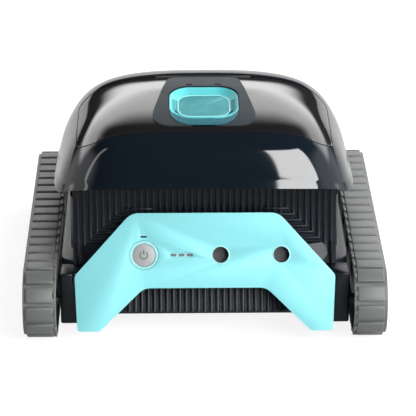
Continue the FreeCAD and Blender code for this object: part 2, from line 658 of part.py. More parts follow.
for number in range(3):
    opening = box(f"duct_window_{number}", -50, -10, can_top + 4.0, 100, 20, 14.0)
    opening.Placement = Placement(Vector(), Rotation(Vector(0, 0, 1), 60.0 * number))
    shift = Rotation(Vector(0, 0, 1), 60.0 * number).multVec(Vector(-50, -10, 0))
    bind(opening, Placement__Base__x=shift.x, Placement__Base__y=shift.y + pump_y,
         Placement__Base__z=can_top + 4.0)
    duct_tools.append(opening)
keep(less("duct", duct, duct_tools), "outlet_duct")
keep(turned("duct_seal_ring", ring_profile(0.1, 4.0, size.duct_outer_radius - size.duct_wall + 0.5,
                                           size.duct_outer_radius - 0.2),
            at(0, pump_y, duct_top, UP)), "duct_gasket")

# ---------------------------------------------------------------------------------------------
# Battery and electronics in the tub's rear
# ---------------------------------------------------------------------------------------------
battery_y = front + size.battery_setback
battery_foot = size.tub_floor_height + size.tub_wall + 2.0
battery_outline = rounded_rectangle(size.battery_width, size.battery_length, 8.0, 0,
                                    battery_y + size.battery_length / 2)
case = plate("battery_case_block", battery_outline, "battery_height - 4", at(0, 0, battery_foot))
hollow = rounded_rectangle(size.battery_width - 2 * size.battery_wall,
                           size.battery_length - 2 * size.battery_wall, 6.0, 0,
                           battery_y + size.battery_length / 2)
pocket(case, "battery_hollow", hollow, "battery_height - 4 - battery_wall",
       lift=size.battery_height - 4.0)
keep(case, "battery_case")
keep(plate("battery_lid_plate", battery_outline, "3.5",
           at(0, 0, battery_foot + size.battery_height - 3.9)), "battery_lid")
cells_made = []
pitch = 2 * size.cell_radius + 1.0
for column in range(8):
    for line in range(4):
        x = (column - 3.5) * pitch
        y = battery_y + size.battery_length / 2 + (line - 1.5) * pitch
        cells_made.append(Part.makeCylinder(size.cell_radius, size.battery_height - 8.0,
                                            Vector(x, y, battery_foot + size.battery_wall + 0.5)))
keep(shaped("battery_cell_group", Part.makeCompound(cells_made)), "battery_cells")
case_foot = battery_foot + size.battery_height + 3.0
case_y = battery_y + 8.0
outer = box("control_case_block", "-case_width / 2", case_y, case_foot, "case_width",
            "case_length", "case_height")
space = box("control_case_space", "-case_width / 2 + case_wall", case_y + size.case_wall,
            case_foot + size.case_wall, "case_width - 2 * case_wall",
            "case_length - 2 * case_wall", "case_height")
keep(less("control_case_body", outer, [space]), "control_case")
keep(box("control_board_plate", "-case_width / 2 + case_wall + 1.5", case_y + size.case_wall + 1.5,
         case_foot + 8.0, "case_width - 2 * case_wall - 3", "case_length - 2 * case_wall - 3",
         "board_thickness"), "control_board")
keep(box("control_lid_plate", "-case_width / 2", case_y, case_foot + size.case_height + 0.1,
         "case_width", "case_length", "lid_thickness"), "control_lid")

# ---------------------------------------------------------------------------------------------
# Front bezel, tilted back, and the controls that sit in it
# ---------------------------------------------------------------------------------------------
bezel_place = at(0, front + size.bezel_setback, size.bezel_foot_height,
                 Rotation(Vector(1, 0, 0), 90 - size.bezel_tilt))


def on_bezel(x, height, depth=0.0, turn=None):
    """A place on the bezel: across, up its face, and in from its face."""
    return bezel_place.multiply(at(x, height, -depth, turn))


def both_sides(corners):
    """Corners of a symmetric outline, from those of its right half."""
    return corners + [(-x, y, radius) for x, y, radius in reversed(corners)]


bezel_corners = both_sides([
    (size.arch_half_width, size.arch_height, 18.0), (size.arch_foot_half_width, 0, 3.0),
    (size.bezel_foot_half_width, 0, 4.0), (size.bezel_half_width, size.bezel_shoulder, 8.0),
    (size.bezel_top_half_width, size.bezel_length, 20.0)])
bezel = plate("bezel_plate", rounded_outline(bezel_corners), "bezel_thickness", bezel_place,
              downwards=True)
button_x = -size.button_offset
control_s = size.control_height
INWARDS = Vector(0, 0, 1)
ports = (("inner", size.port_inner_offset), ("outer", size.port_outer_offset))
pocket(bezel, "button_opening",
       [Part.Circle(Vector(button_x, control_s, 0), INWARDS, size.button_ring_radius)],
       "bezel_thickness + 1")
for word, x in ports:
    pocket(bezel, f"port_opening_{word}",
           [Part.Circle(Vector(x, control_s, 0), INWARDS, size.port_radius + size.seat_gap)],
           "bezel_thickness + 1")
led_s = control_s + size.led_drop
pocket(bezel, "led_opening", rounded_rectangle(size.led_width, 2.0, 0.9, button_x, led_s),
       "bezel_thickness + 1")
pocket(bezel, "gauge_opening", rounded_rectangle(size.gauge_width, size.gauge_height, 2.4,
                                                 -size.gauge_offset, control_s),
       "bezel_thickness + 1")
keep(bezel, "front_bezel")

ring_outer = size.button_ring_radius - size.seat_gap
keep(turned("button_ring_turned", ring_profile(-size.bezel_thickness, -0.8,
                                               size.button_radius + size.seat_gap, ring_outer),
            on_bezel(button_x, control_s, 0, UP)), "button_ring")
button = [(-size.bezel_thickness - 3.0, 0), (-1.0, 0), (-1.0, size.button_radius),
          (-size.bezel_thickness + 0.6, size.button_radius), (-size.bezel_thickness + 0.6, 4.0),
          (-size.bezel_thickness - 3.0, 4.0)]
keep(turned("power_button_cap", button, on_bezel(button_x, control_s, 0, UP)), "power_button")
switch_top = size.bezel_thickness + 3.0 + size.button_travel + 0.3
switch = turned("power_switch_body",
                ring_profile(-switch_top - 1.6, -switch_top, 0, size.switch_radius),
                on_bezel(button_x, control_s, 0, UP))
board = plate("front_board_plate", rounded_rectangle(78.0, 26.0, 3.0, -50.0, control_s + 6.0),
              "board_thickness", on_bezel(0, 0, switch_top + 1.7), downwards=True)
grouped("front_board", [board, switch])
keep(plate("led_lens_plate", rounded_rectangle(size.led_width - 0.3, 1.7, 0.8, button_x, led_s),
           "bezel_thickness", on_bezel(0, 0, 0.4), downwards=True), "led_lens")
lens_blank = plate("gauge_backing", rounded_rectangle(size.gauge_width - 0.3,
                                                      size.gauge_height - 0.3, 2.2,
                                                      -size.gauge_offset, control_s),
                   "bezel_thickness - 1", on_bezel(0, 0, 1.4), downwards=True)
for number in (-1, 0, 1):
    pocket(lens_blank, f"gauge_window_{number + 1}",
           rounded_rectangle(6.6, 3.0, 0.6, -size.gauge_offset + 8.9 * number, control_s), "1.0")
keep(lens_blank, "gauge_frame")
windows = [face_of(rounded_rectangle(6.4, 2.8, 0.5, -size.gauge_offset + 8.9 * number, control_s))
           .extrude(Vector(0, 0, -0.7)) for number in (-1, 0, 1)]
keep(shaped("gauge_windows", Part.makeCompound(windows), on_bezel(0, 0, 1.6)), "gauge_windows")

socket_mouth = size.bezel_thickness + 0.1
socket_end = socket_mouth + size.port_depth
sockets = []
contact_pins = []
for word, x in ports:
    cup = [(-socket_end - 1.5, 0), (-socket_end, 0), (-socket_end, size.port_radius),
           (-socket_mouth, size.port_radius), (-socket_mouth, size.port_radius + size.port_wall),
           (-socket_end - 1.5, size.port_radius + size.port_wall)]
    sockets.append(turned(f"charge_socket_cup_{word}", cup, on_bezel(x, control_s, 0, UP)))
    pins = [Part.makeCylinder(0.9, 2.0, Vector(3.4 * math.cos(angle), 3.4 * math.sin(angle), -3.6))
            for angle in (math.pi / 2, math.pi * 7 / 6, math.pi * 11 / 6)]
    contact_pins.append(shaped(f"charge_pins_{word}", Part.makeCompound(pins),
                               on_bezel(x, control_s, socket_end)))
grouped("charge_sockets", sockets)
grouped("charge_pins", contact_pins)

# ---------------------------------------------------------------------------------------------
# Ribbed cowl behind the bezel, and the smooth blocks beside the bezel's legs
# ---------------------------------------------------------------------------------------------
cowl_line = [(72.0, 164.0), (72.0, 140.0), (46.0, 40.0), (36.0, 27.0)]


def cowl_strip(proud, wall, x, width):
    """The cowl's section, standing proud of its line by so much, run across for a width."""
    outer_line = [Vector(x, front + setback - proud, z) for setback, z in cowl_line]
    inner_line = [Vector(x, front + setback + wall, z) for setback, z in reversed(cowl_line)]
    loop = outer_line + inner_line + [outer_line[0]]
    return Part.Face(Part.makePolygon(loop)).extrude(Vector(width, 0, 0))


cowl = cowl_strip(0, size.cowl_wall, -size.cowl_half_width, 2 * size.cowl_half_width)
ribs = []
rib_total = int(2 * (size.cowl_half_width - size.rib_width) / size.rib_pitch)
for number in range(rib_total + 1):
    x = (number - rib_total / 2) * size.rib_pitch
    ribs.append(cowl_strip(size.rib_height, 1.0, x - size.rib_width / 2, size.rib_width))
foot_setback = cowl_line[-1][0]
skid = Part.makeBox(2 * (size.corner_block_inner - 0.5),
                    size.tub_front_setback - size.joint_gap - foot_setback, size.cowl_wall,
                    Vector(-size.corner_block_inner + 0.5, front + foot_setback, size.skid_height))
cowl = cowl.fuse(ribs + [skid])
beside = [Part.makeBox(60, 60, size.corner_block_top + 0.2,
                       Vector(size.corner_block_inner - 0.3 if sign > 0
                              else -size.corner_block_inner + 0.3 - 60, front + 20, 0))
          for side, sign in SIDES]
keep(shaped("front_cowl_ribbed", cowl.cut(beside)), "front_cowl")

block_front = front + size.corner_block_setback
for side, sign in SIDES:
    low, high = sorted((sign * size.corner_block_inner, sign * tub_half_width))
    block = box("corner_block_solid_" + side, low, block_front, "corner_block_foot", high - low,
                tub_front - size.joint_gap - block_front, "corner_block_top - corner_block_foot")
    behind_bezel = doc.addObject("Part::Box", "bezel_space_" + side)
    bind(behind_bezel, Length="2 * (bezel_half_width + 1.5)", Width="bezel_length + 60", Height=60)
    behind_bezel.Placement = on_bezel(-size.bezel_half_width - 1.5, -30,
                                      size.bezel_thickness + 0.2)
    keep(less("corner_block_cut_" + side, block, [behind_bezel]), "corner_block_" + side)

# ---------------------------------------------------------------------------------------------
# Dome: shroud, hatch and spine are cut from one family of lofted surfaces
# ---------------------------------------------------------------------------------------------
def dome_level(level, inset, lowered):
    """One level's closed outline: a squarish front half and a rounder rear half."""
    waist, half, fore, rear, rear_power = dome_span(level)
    height = size.overall_height - vars(size)[f"dome_drop_{level}"] - lowered
    points = []
    for step in range(48):
        angle = 2 * math.pi * step / 48
        reach, power = (rear, rear_power) if math.sin(angle) > 0 else (fore, FRONT_POWER)
        reach -= inset
        across = abs(math.cos(angle) / (half - inset)) ** power
        along = abs(math.sin(angle) / reach) ** power
        radius = (across + along) ** (-1 / power)
        points.append(Vector(radius * math.cos(angle), waist + radius * math.sin(angle), height))
    curve = Part.BSplineCurve()
    curve.interpolate(points, PeriodicFlag=True)
    return Part.Wire([curve.toShape()])


def dome(inset, lowered):
    levels = range(len(DOME_LEVELS))
    return Part.makeLoft([dome_level(level, inset, lowered) for level in levels], True, True)


def prism(edges, low, high):
    return face_of(edges, low).extrude(Vector(0, 0, high - low))


base_drop = size.spine_rise
top = size.overall_height + 20
dome_outer = dome(0, base_drop)
dome_inner = dome(size.shell_wall, base_drop + size.shell_wall)
dome_raised = dome(0, 0)
rim_line = [(-20, 60), (-20, 210.0), (40, 174.0), (80, 154.0), (size.overall_length + 20, 115.0),
            (size.overall_length + 20, 60)]
rim = Part.Face(Part.makePolygon([Vector(-300, front + setback, z)
                                  for setback, z in rim_line + rim_line[:1]]))
under_rim = rim.extrude(Vector(600, 0, 0))
shell = dome_outer.cut([dome_inner, under_rim])

hatch_front = front + size.hatch_setback
hatch_rear = front + size.hatch_rear
hinge_y = hatch_rear + size.hinge_gap / 2
hinge_z = size.overall_height - 4.0


def hatch_plan(grown, rear_extra):
    """Hatch outline in plan, grown all round and by a further strip at its rear."""
    half = size.hatch_half_width + grown / 3
    corners = [(-half, hatch_front - grown, size.hatch_corner + grown),
               (half, hatch_front - grown, size.hatch_corner + grown),
               (half, hatch_rear + rear_extra, 4.0), (-half, hatch_rear + rear_extra, 4.0)]
    return rounded_outline(corners)


outlet_place = at(0, pump_y, size.outlet_rim_height, Rotation(Vector(1, 0, 0), size.outlet_tilt))
outlet_hole = prism(rounded_rectangle(size.outlet_width + 0.6, size.outlet_depth + 0.6,
                                      size.outlet_corner + 0.3), -40, 30)
outlet_hole.Placement = outlet_place
knuckle_bore = Part.makeCylinder(size.hinge_pin_radius + size.running_fit, 200,
                                 Vector(-100, hinge_y, hinge_z), Vector(1, 0, 0))


def knuckle(start, end, edge_y):
    """A hinge knuckle with its arm back to a panel's edge."""
    barrel = Part.makeCylinder(size.knuckle_radius, end - start, Vector(start, hinge_y, hinge_z),
                               Vector(1, 0, 0))
    low, high = sorted((hinge_y, edge_y))
    arm = Part.makeBox(end - start, high - low, 2.0, Vector(start, low, hinge_z - 2.0))
    return barrel.fuse(arm)


hatch = shell.common(prism(hatch_plan(0, 0), 100, top)).cut(outlet_hole)
hatch = hatch.fuse([knuckle(start, start + 30, hatch_rear - 2.5) for start in (-50, 20)])
keep(shaped("hatch_shell", hatch.cut(knuckle_bore)), "hatch")
shroud = shell.cut(prism(hatch_plan(size.hatch_gap, size.hinge_gap), 100, top))
shroud = shroud.fuse(knuckle(-18, 18, hatch_rear + size.hinge_gap + 2.0))
keep(shaped("shroud_shell", shroud.cut(knuckle_bore)), "shroud")
keep(rod("hinge_pin_rod", "-hinge_half_length", hinge_y, hinge_z, "hinge_pin_radius",
         "2 * hinge_half_length", axis="x"), "hatch_hinge_pin")

# the spine narrows behind the outlet and widens in a curve beside it
spine_plan = rounded_outline([
    (-size.spine_front_half_width, hatch_front + size.spine_margin, 22.0),
    (size.spine_front_half_width, hatch_front + size.spine_margin, 22.0),
    (size.spine_waist_half_width, pump_y + size.outlet_depth / 2, 40.0),
    (size.spine_rear_half_width, hatch_rear - size.spine_margin, 10.0),
    (-size.spine_rear_half_width, hatch_rear - size.spine_margin, 10.0),
    (-size.spine_waist_half_width, pump_y + size.outlet_depth / 2, 40.0)])
spine = dome_raised.common(prism(spine_plan, 100, top)).cut([dome(0, base_drop - 0.05), outlet_hole])
keep(shaped("spine_cover_shell", spine), "spine_cover")

# Outlet: a flared cup with a slotted floor, set in the hatch over the pump's duct
outlet = plate("outlet_block", rounded_rectangle(size.outlet_width, size.outlet_depth,
                                                 size.outlet_corner),
               "cup_depth + outlet_floor + outlet_skirt", outlet_place, downwards=True)
doc.recompute()
flare = outlet.newObject("PartDesign::SubtractiveLoft", "outlet_flare")
flare.Profile = sketch_on(outlet, "flare_rim", rounded_rectangle(
    size.outlet_width - 4.0, size.outlet_depth - 4.0, size.outlet_corner - 2.0))
flare.Sections = [sketch_on(outlet, "flare_floor", rounded_rectangle(
    size.cup_floor_width, size.cup_floor_depth, 14.0), lift=-size.cup_depth)]
slots = []
slot_total = int((size.cup_floor_depth - 4.0) / size.slot_pitch)
for number in range(slot_total):
    y = (number - (slot_total - 1) / 2) * size.slot_pitch
    slots += rounded_rectangle(size.cup_floor_width - 8.0, size.slot_width,
                               size.slot_width / 2 - 0.01, 0, y)
pocket(outlet, "outlet_slots", slots, "outlet_floor + 2", lift=-size.cup_depth + 1)
pocket(outlet, "outlet_throat", rounded_rectangle(size.cup_floor_width, size.cup_floor_depth, 14.0),
       "outlet_skirt + 1", lift=-size.cup_depth - size.outlet_floor)
keep(outlet, "outlet_cup")

# catch on the hatch's front edge, and the shroud's foam floats
keep(box("hatch_catch_block", -15, hatch_front + 4.0, size.overall_height - 31.0, 30, 4.0, 6.5),
     "hatch_catch")
floats = []
for side, sign in SIDES:
    low, high = sorted((sign * 62.0, sign * 114.0))
    floats.append(box("float_block_" + side, low, front + 226.0, 112.0, high - low, 84.0, 50.0))
grouped("foam_floats", floats)

# ---------------------------------------------------------------------------------------------
# Screws: identical ones share a node
# ---------------------------------------------------------------------------------------------
heads = []
for side, sign in SIDES:
    for y in (-rail_reach + 12.0, -rail_reach / 3, rail_reach / 3, rail_reach - 12.0):
        start = size.overall_width / 2 - 0.95
        heads.append(Part.makeCylinder(3.2, 0.9, Vector(sign * start, y, size.track_radius),
                                       Vector(sign, 0, 0)))
keep(shaped("cover_screw_group", Part.makeCompound(heads)), "cover_screws")
feet = [Part.makeCylinder(4.0, 1.6, Vector(x, y, size.tub_floor_height - 1.7))
        for x in (-130.0, 0.0, 130.0) for y in (mouth_y + 40.0, tub_rear - 20.0)]
keep(shaped("base_screw_group", Part.makeCompound(feet)), "base_screws")

# ---------------------------------------------------------------------------------------------
# Check every object, then write each sub-part
# ---------------------------------------------------------------------------------------------
doc.recompute()
for thing in doc.Objects:
    if {"Invalid", "Error"} & set(thing.State):
        raise ValueError(f"{thing.Name} failed: {thing.State}")
for piece in pieces:
    if piece.Shape.isNull() or not piece.Shape.isValid() or not piece.Shape.Solids:
        raise ValueError(f"{piece.Label} is not a sound solid")
for piece in pieces:
    piece.Shape.exportStep(f"parts/{piece.Label}.step")
print(len(pieces), "sub-parts written")
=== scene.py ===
import math

import bmesh
import bpy
from mathutils import Matrix, Vector


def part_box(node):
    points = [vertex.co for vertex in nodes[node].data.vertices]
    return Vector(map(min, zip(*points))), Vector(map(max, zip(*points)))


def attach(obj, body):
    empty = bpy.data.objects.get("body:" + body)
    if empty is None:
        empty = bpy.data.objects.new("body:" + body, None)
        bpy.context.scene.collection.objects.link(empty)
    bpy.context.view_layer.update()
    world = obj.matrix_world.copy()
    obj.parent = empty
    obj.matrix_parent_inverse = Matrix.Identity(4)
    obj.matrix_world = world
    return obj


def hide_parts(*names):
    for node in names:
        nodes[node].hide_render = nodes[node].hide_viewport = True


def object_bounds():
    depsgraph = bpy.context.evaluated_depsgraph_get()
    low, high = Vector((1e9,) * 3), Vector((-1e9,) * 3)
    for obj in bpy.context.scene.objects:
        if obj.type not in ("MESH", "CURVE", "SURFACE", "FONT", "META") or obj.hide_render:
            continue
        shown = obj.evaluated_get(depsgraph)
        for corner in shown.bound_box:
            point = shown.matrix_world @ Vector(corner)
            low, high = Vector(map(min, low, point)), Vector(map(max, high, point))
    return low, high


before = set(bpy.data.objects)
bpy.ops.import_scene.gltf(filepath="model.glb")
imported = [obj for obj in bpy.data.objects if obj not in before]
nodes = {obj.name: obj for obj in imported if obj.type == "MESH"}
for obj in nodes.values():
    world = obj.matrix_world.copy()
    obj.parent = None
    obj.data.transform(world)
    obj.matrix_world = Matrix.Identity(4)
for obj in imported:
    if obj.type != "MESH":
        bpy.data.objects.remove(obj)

cad_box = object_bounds()
front_y = cad_box[0][1]
top_z = cad_box[1][2]

# ---------------------------------------------------------------------------------------------
# Studio: a white floor that runs out of sight, soft panels above and to the right, and a
# surround that glossy surfaces see as white panels behind and beside the machine.
# ---------------------------------------------------------------------------------------------
scene = bpy.context.scene
scene.view_settings.view_transform = "Standard"

FLOOR_HALF = 6.0
FLOOR_LIGHT = 0.34      # the glow that reaches the machine, which lights it only weakly
FLOOR_WHITE = 0.86      # the glow that is seen, which keeps the floor white


def as_data(name, mesh):
    """A finished bmesh as mesh data."""
    data = bpy.data.meshes.new(name)
    mesh.to_mesh(data)
    mesh.free()
    return data


def as_object(name, data):
    """A new object in the scene, holding its data."""
    thing = bpy.data.objects.new(name, data)
    scene.collection.objects.link(thing)
    return thing


def soft_panel(name, place, target, size_x, size_y, power):
    """A rectangular soft light aimed at a point, which glossy surfaces don't mirror."""
    lamp = bpy.data.lights.new(name, "AREA")
    lamp.shape = "RECTANGLE"
    lamp.size = size_x
    lamp.size_y = size_y
    lamp.energy = power
    holder = as_object(name, lamp)
    holder.location = place
    aim = Vector(target) - Vector(place)
    holder.rotation_euler = aim.to_track_quat("-Z", "Y").to_euler()
    holder.visible_glossy = False


floor_mesh = bmesh.new()
bmesh.ops.create_grid(floor_mesh, x_segments=1, y_segments=1, size=FLOOR_HALF)
floor = as_object("studio_floor", as_data("studio_floor", floor_mesh))
floor_paint = bpy.data.materials.new("floor_white")
floor_paint.use_nodes = True
floor_nodes = floor_paint.node_tree.nodes
floor_link = floor_paint.node_tree.links.new
floor_shader = floor_nodes["Principled BSDF"]
floor_shader.inputs["Base Color"].default_value = (0.34, 0.34, 0.34, 1)
floor_shader.inputs["Emission Color"].default_value = (1.0, 1.0, 1.0, 1)
floor_shader.inputs["Roughness"].default_value = 0.85
floor_shader.inputs["Specular IOR Level"].default_value = 0.2
floor_rays = floor_nodes.new("ShaderNodeLightPath")
floor_glow = floor_nodes.new("ShaderNodeMapRange")
floor_glow.inputs["To Min"].default_value = FLOOR_LIGHT
floor_glow.inputs["To Max"].default_value = FLOOR_WHITE
floor_link(floor_rays.outputs["Is Camera Ray"], floor_glow.inputs["Value"])
floor_link(floor_glow.outputs[0], floor_shader.inputs["Emission Strength"])
floor.data.materials.append(floor_paint)

soft_panel("overhead_panel", (1.3, 0.7, 2.1), (0.05, 0.0, 0.1), 1.8, 1.6, 20.0)
soft_panel("front_right_panel", (1.05, -1.40, 0.90), (0.05, -0.1, 0.12), 0.8, 0.5, 12.0)
soft_panel("right_panel", (2.0, -0.5, 1.0), (0.1, 0.0, 0.05), 1.2, 1.2, 36.0)
soft_panel("front_fill", (0.1, -2.9, 1.9), (0.0, 0.0, 0.1), 1.6, 1.2, 8.0)

surround = bpy.data.worlds.new("studio_surround")
surround.use_nodes = True
world_nodes = surround.node_tree.nodes
world_link = surround.node_tree.links.new
direction = world_nodes.new("ShaderNodeTexCoord")
split = world_nodes.new("ShaderNodeSeparateXYZ")
world_link(direction.outputs["Generated"], split.inputs[0])


def soft_step(socket, start, end, low=0.0, high=1.0):
    """A smooth rise of a value between two readings of a direction."""
    step = world_nodes.new("ShaderNodeMapRange")
    step.interpolation_type = "SMOOTHSTEP"
    step.inputs["From Min"].default_value = start
    step.inputs["From Max"].default_value = end
    step.inputs["To Min"].default_value = low
    step.inputs["To Max"].default_value = high
    world_link(socket, step.inputs["Value"])
    return step.outputs[0]


def worked_out(operation, first, second):
    """A sum on two readings or numbers."""
    node = world_nodes.new("ShaderNodeMath")
    node.operation = operation
    for socket, value in zip(node.inputs, (first, second)):
        if isinstance(value, (int, float)):
            socket.default_value = value
        else:
            world_link(value, socket)
    return node.outputs[0]


# what glossy surfaces mirror: a broad white panel behind and above, white sides, a soft box in
# front on each side, and dark space elsewhere
across, depth, height = (split.outputs[axis] for axis in "XYZ")
rear_band = worked_out("MULTIPLY", soft_step(height, 0.17, 0.32),
                       soft_step(height, 0.66, 0.86, 1.0, 0.0))
rear_panel = worked_out("MULTIPLY", rear_band, soft_step(depth, 0.05, 0.35, 0.0, 2.9))
sideways = worked_out("ABSOLUTE", across, 0.0)
side_walls = worked_out("MULTIPLY", soft_step(sideways, 0.62, 0.90, 0.0, 0.8),
                        soft_step(height, 0.75, 0.45))
forwards = worked_out("MULTIPLY", depth, -1.0)
bearing = worked_out("DIVIDE", across, worked_out("MAXIMUM", forwards, 0.05))
box_band = worked_out("MULTIPLY", soft_step(height, 0.10, 0.13),
                      soft_step(height, 0.80, 0.84, 1.0, 0.0))
box_front = worked_out("MULTIPLY", box_band, soft_step(forwards, 0.08, 0.10))
right_box = worked_out("MULTIPLY", soft_step(bearing, 0.17, 0.20, 0.0, 12.0),
                       soft_step(bearing, 1.22, 1.30, 1.0, 0.0))
left_box = worked_out("MULTIPLY", soft_step(bearing, -2.3, -2.2, 0.0, 2.6),
                      soft_step(bearing, -1.75, -1.65, 1.0, 0.0))
soft_boxes = worked_out("MULTIPLY", worked_out("ADD", right_box, left_box), box_front)
mirrored_light = worked_out("ADD", worked_out("ADD", rear_panel, side_walls),
                            worked_out("ADD", soft_boxes, 0.03))
# what lights matt surfaces: an even surround, brighter from the right
even_light = soft_step(across, -0.9, 0.9, 0.03, 0.72)
rays = world_nodes.new("ShaderNodeLightPath")
choice = world_nodes.new("ShaderNodeMix")
world_link(rays.outputs["Is Glossy Ray"], choice.inputs["Factor"])
world_link(even_light, choice.inputs["A"])
world_link(mirrored_light, choice.inputs["B"])
world_link(choice.outputs["Result"], world_nodes["Background"].inputs["Strength"])
world_nodes["Background"].inputs["Color"].default_value = (1.0, 0.99, 0.985, 1)
scene.world = surround

# ---------------------------------------------------------------------------------------------
# Camera: a long lens from in front, looking down at the machine
# ---------------------------------------------------------------------------------------------
VIEW_DOWN = math.radians(22.5)
VIEW_YAW = math.radians(0.86)
CAMERA_LEFT = 0.0331
CAMERA_BACK = 2.3931
CAMERA_UP = 1.1587
camera_data = bpy.data.cameras.new("camera")
camera_data.lens = 208.9
camera_data.sensor_width = 36.0
camera_data.clip_end = 50.0
camera = as_object("camera", camera_data)
camera.location = (-CAMERA_LEFT, front_y - CAMERA_BACK, CAMERA_UP)
looking = Vector((math.sin(VIEW_YAW) * math.cos(VIEW_DOWN),
                  math.cos(VIEW_YAW) * math.cos(VIEW_DOWN), -math.sin(VIEW_DOWN)))
camera.rotation_euler = looking.to_track_quat("-Z", "Y").to_euler()
scene.camera = camera

# ---------------------------------------------------------------------------------------------
# Tub and upper housing: injection-moulded in navy polypropylene with a fine spark-eroded grain.
# They are screwed together along the flange. The moulded-plastic finish is made here.
# ---------------------------------------------------------------------------------------------


def noise(tree, place, scale, detail, distortion=0.0):
    """A noise pattern that is fixed to the piece."""
    pattern = tree.nodes.new("ShaderNodeTexNoise")
    pattern.inputs["Scale"].default_value = scale
    pattern.inputs["Detail"].default_value = detail
    pattern.inputs["Distortion"].default_value = distortion
    tree.links.new(place.outputs["Object"], pattern.inputs["Vector"])
    return pattern.outputs["Fac"]


def bumped(tree, pattern, strength, distance, under=None):
    """A bump made by a pattern, on top of another bump if one is given."""
    bump = tree.nodes.new("ShaderNodeBump")
    bump.inputs["Strength"].default_value = strength
    bump.inputs["Distance"].default_value = distance
    tree.links.new(pattern, bump.inputs["Height"])
    if under is not None:
        tree.links.new(under, bump.inputs["Normal"])
    return bump.outputs["Normal"]


def finish(name, colour, roughness, grain=0.02, grain_scale=1400.0, variation=0.08, scuff=0.06,
           coat=0.0, coat_roughness=0.05, specular=0.5, waviness=0.0, metallic=0.0):
    """A moulded finish: cloudy colour, patchy gloss, fine grain and light scuffs."""
    paint = bpy.data.materials.new(name)
    paint.use_nodes = True
    tree = paint.node_tree
    link = tree.links.new
    shader = tree.nodes["Principled BSDF"]
    place = tree.nodes.new("ShaderNodeTexCoord")

    tone = tree.nodes.new("ShaderNodeValToRGB")
    tone.color_ramp.elements[0].position = 0.3
    tone.color_ramp.elements[1].position = 0.7
    tone.color_ramp.elements[0].color = [c * (1 - variation) for c in colour] + [1]
    tone.color_ramp.elements[1].color = [min(1.0, c * (1 + variation)) for c in colour] + [1]
    link(noise(tree, place, 14.0, 5.0), tone.inputs["Fac"])
    link(tone.outputs["Color"], shader.inputs["Base Color"])

    gloss = tree.nodes.new("ShaderNodeMapRange")
    gloss.inputs["To Min"].default_value = max(0.02, roughness - scuff)
    gloss.inputs["To Max"].default_value = roughness + scuff
    link(noise(tree, place, 60.0, 8.0, 0.6), gloss.inputs["Value"])
    link(gloss.outputs[0], shader.inputs["Roughness"])

    normal = bumped(tree, noise(tree, place, grain_scale, 2.0), grain, 0.0004)
    if waviness > 0:
        normal = bumped(tree, noise(tree, place, 9.0, 1.0), waviness, 0.004, normal)
    link(normal, shader.inputs["Normal"])
    shader.inputs["Specular IOR Level"].default_value = specular
    shader.inputs["Coat Weight"].default_value = coat
    shader.inputs["Coat Roughness"].default_value = coat_roughness
    shader.inputs["Metallic"].default_value = metallic
    return paint


def keep_nodes(paint, *names):
    """CAD nodes that are shown as they are, in a finished material."""
    for name in names:
        piece = nodes[name]
        piece.data.materials.clear()
        piece.data.materials.append(paint)


def new_piece(name, mesh, paint, body, replaced=(), sharp=30.0):
    """A mesh as a finished piece: painted, shaded and riding on its body."""
    piece = as_object(name, as_data(name, mesh))
    piece.data.materials.append(paint)
    piece.data.shade_smooth()
    piece.data.set_sharp_from_angle(angle=math.radians(sharp))
    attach(piece, body)
    if replaced:
        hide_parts(*replaced)


CREASE = math.radians(28.0)     # an edge that turns by more than this is sharp


def softened(node, radius, segments=2):
    """A copy of a CAD node's mesh, merged, with every sharp edge rounded."""
    mesh = bmesh.new()
    mesh.from_mesh(nodes[node].data)
    bmesh.ops.remove_doubles(mesh, verts=mesh.verts, dist=1e-6)
    bmesh.ops.dissolve_limit(mesh, angle_limit=math.radians(0.5), verts=mesh.verts,
                             edges=mesh.edges, delimit=set())
    sharp = [edge for edge in mesh.edges if len(edge.link_faces) == 2
             and edge.calc_face_angle(0) > CREASE]
    bmesh.ops.bevel(mesh, geom=sharp, offset=radius, offset_type="OFFSET", affect="EDGES",
                    segments=segments, profile=0.5, material=-1, clamp_overlap=True)
    return mesh


navy = finish("navy_moulding", (0.010, 0.014, 0.020), 0.42, grain=0.10)
new_piece("tub_shell", softened("tub", 0.0012), navy, "root", ["tub"])
new_piece("upper_housing_shell", softened("upper_housing", 0.0012), navy, "root",
          ["upper_housing"])

# ---------------------------------------------------------------------------------------------
# Inner workings: pump, ducts, brush, battery and basket, in black and grey mouldings, stainless
# steel and rubber. They keep their CAD shapes, and show through the hatch and from below.
# ---------------------------------------------------------------------------------------------
black = finish("black_moulding", (0.014, 0.014, 0.016), 0.45, grain=0.08)
grey = finish("grey_moulding", (0.22, 0.225, 0.225), 0.48, grain=0.08)
steel = finish("stainless_steel", (0.55, 0.56, 0.57), 0.28, grain=0.03, grain_scale=900.0,
               metallic=1.0)
brass = finish("contact_brass", (0.78, 0.58, 0.26), 0.25, grain=0.02, metallic=1.0)
soft_rubber = finish("brush_rubber", (0.055, 0.065, 0.07), 0.62, grain=0.16, grain_scale=700.0)
resist = finish("solder_resist", (0.012, 0.12, 0.05), 0.3, grain=0.05)
foam = finish("float_foam", (0.75, 0.75, 0.72), 0.9, grain=0.6, grain_scale=420.0)
mesh_cloth = finish("filter_mesh", (0.62, 0.63, 0.6), 0.8, grain=0.5, grain_scale=1600.0)
keep_nodes(black, "motor_housing", "motor_lid", "outlet_duct", "suction_chutes", "battery_case",
           "battery_lid", "control_case", "control_lid", "filter_basket", "intake_flap_left",
           "intake_flap_right", "brush_core", "brush_ends", "brush_bushes", "drive_motors",
           "impeller", "hatch_catch", "idler_axles", "hatch_hinge_pin")
keep_nodes(steel, "drive_shaft_left", "drive_shaft_right", "pump_shaft", "pump_motor",
           "flap_pins", "cover_screws", "base_screws", "battery_cells")
keep_nodes(grey, "drive_wheel_left", "drive_wheel_right", "idler_wheel_left",
           "idler_wheel_right", "track_rails")
keep_nodes(brass, "charge_pins")
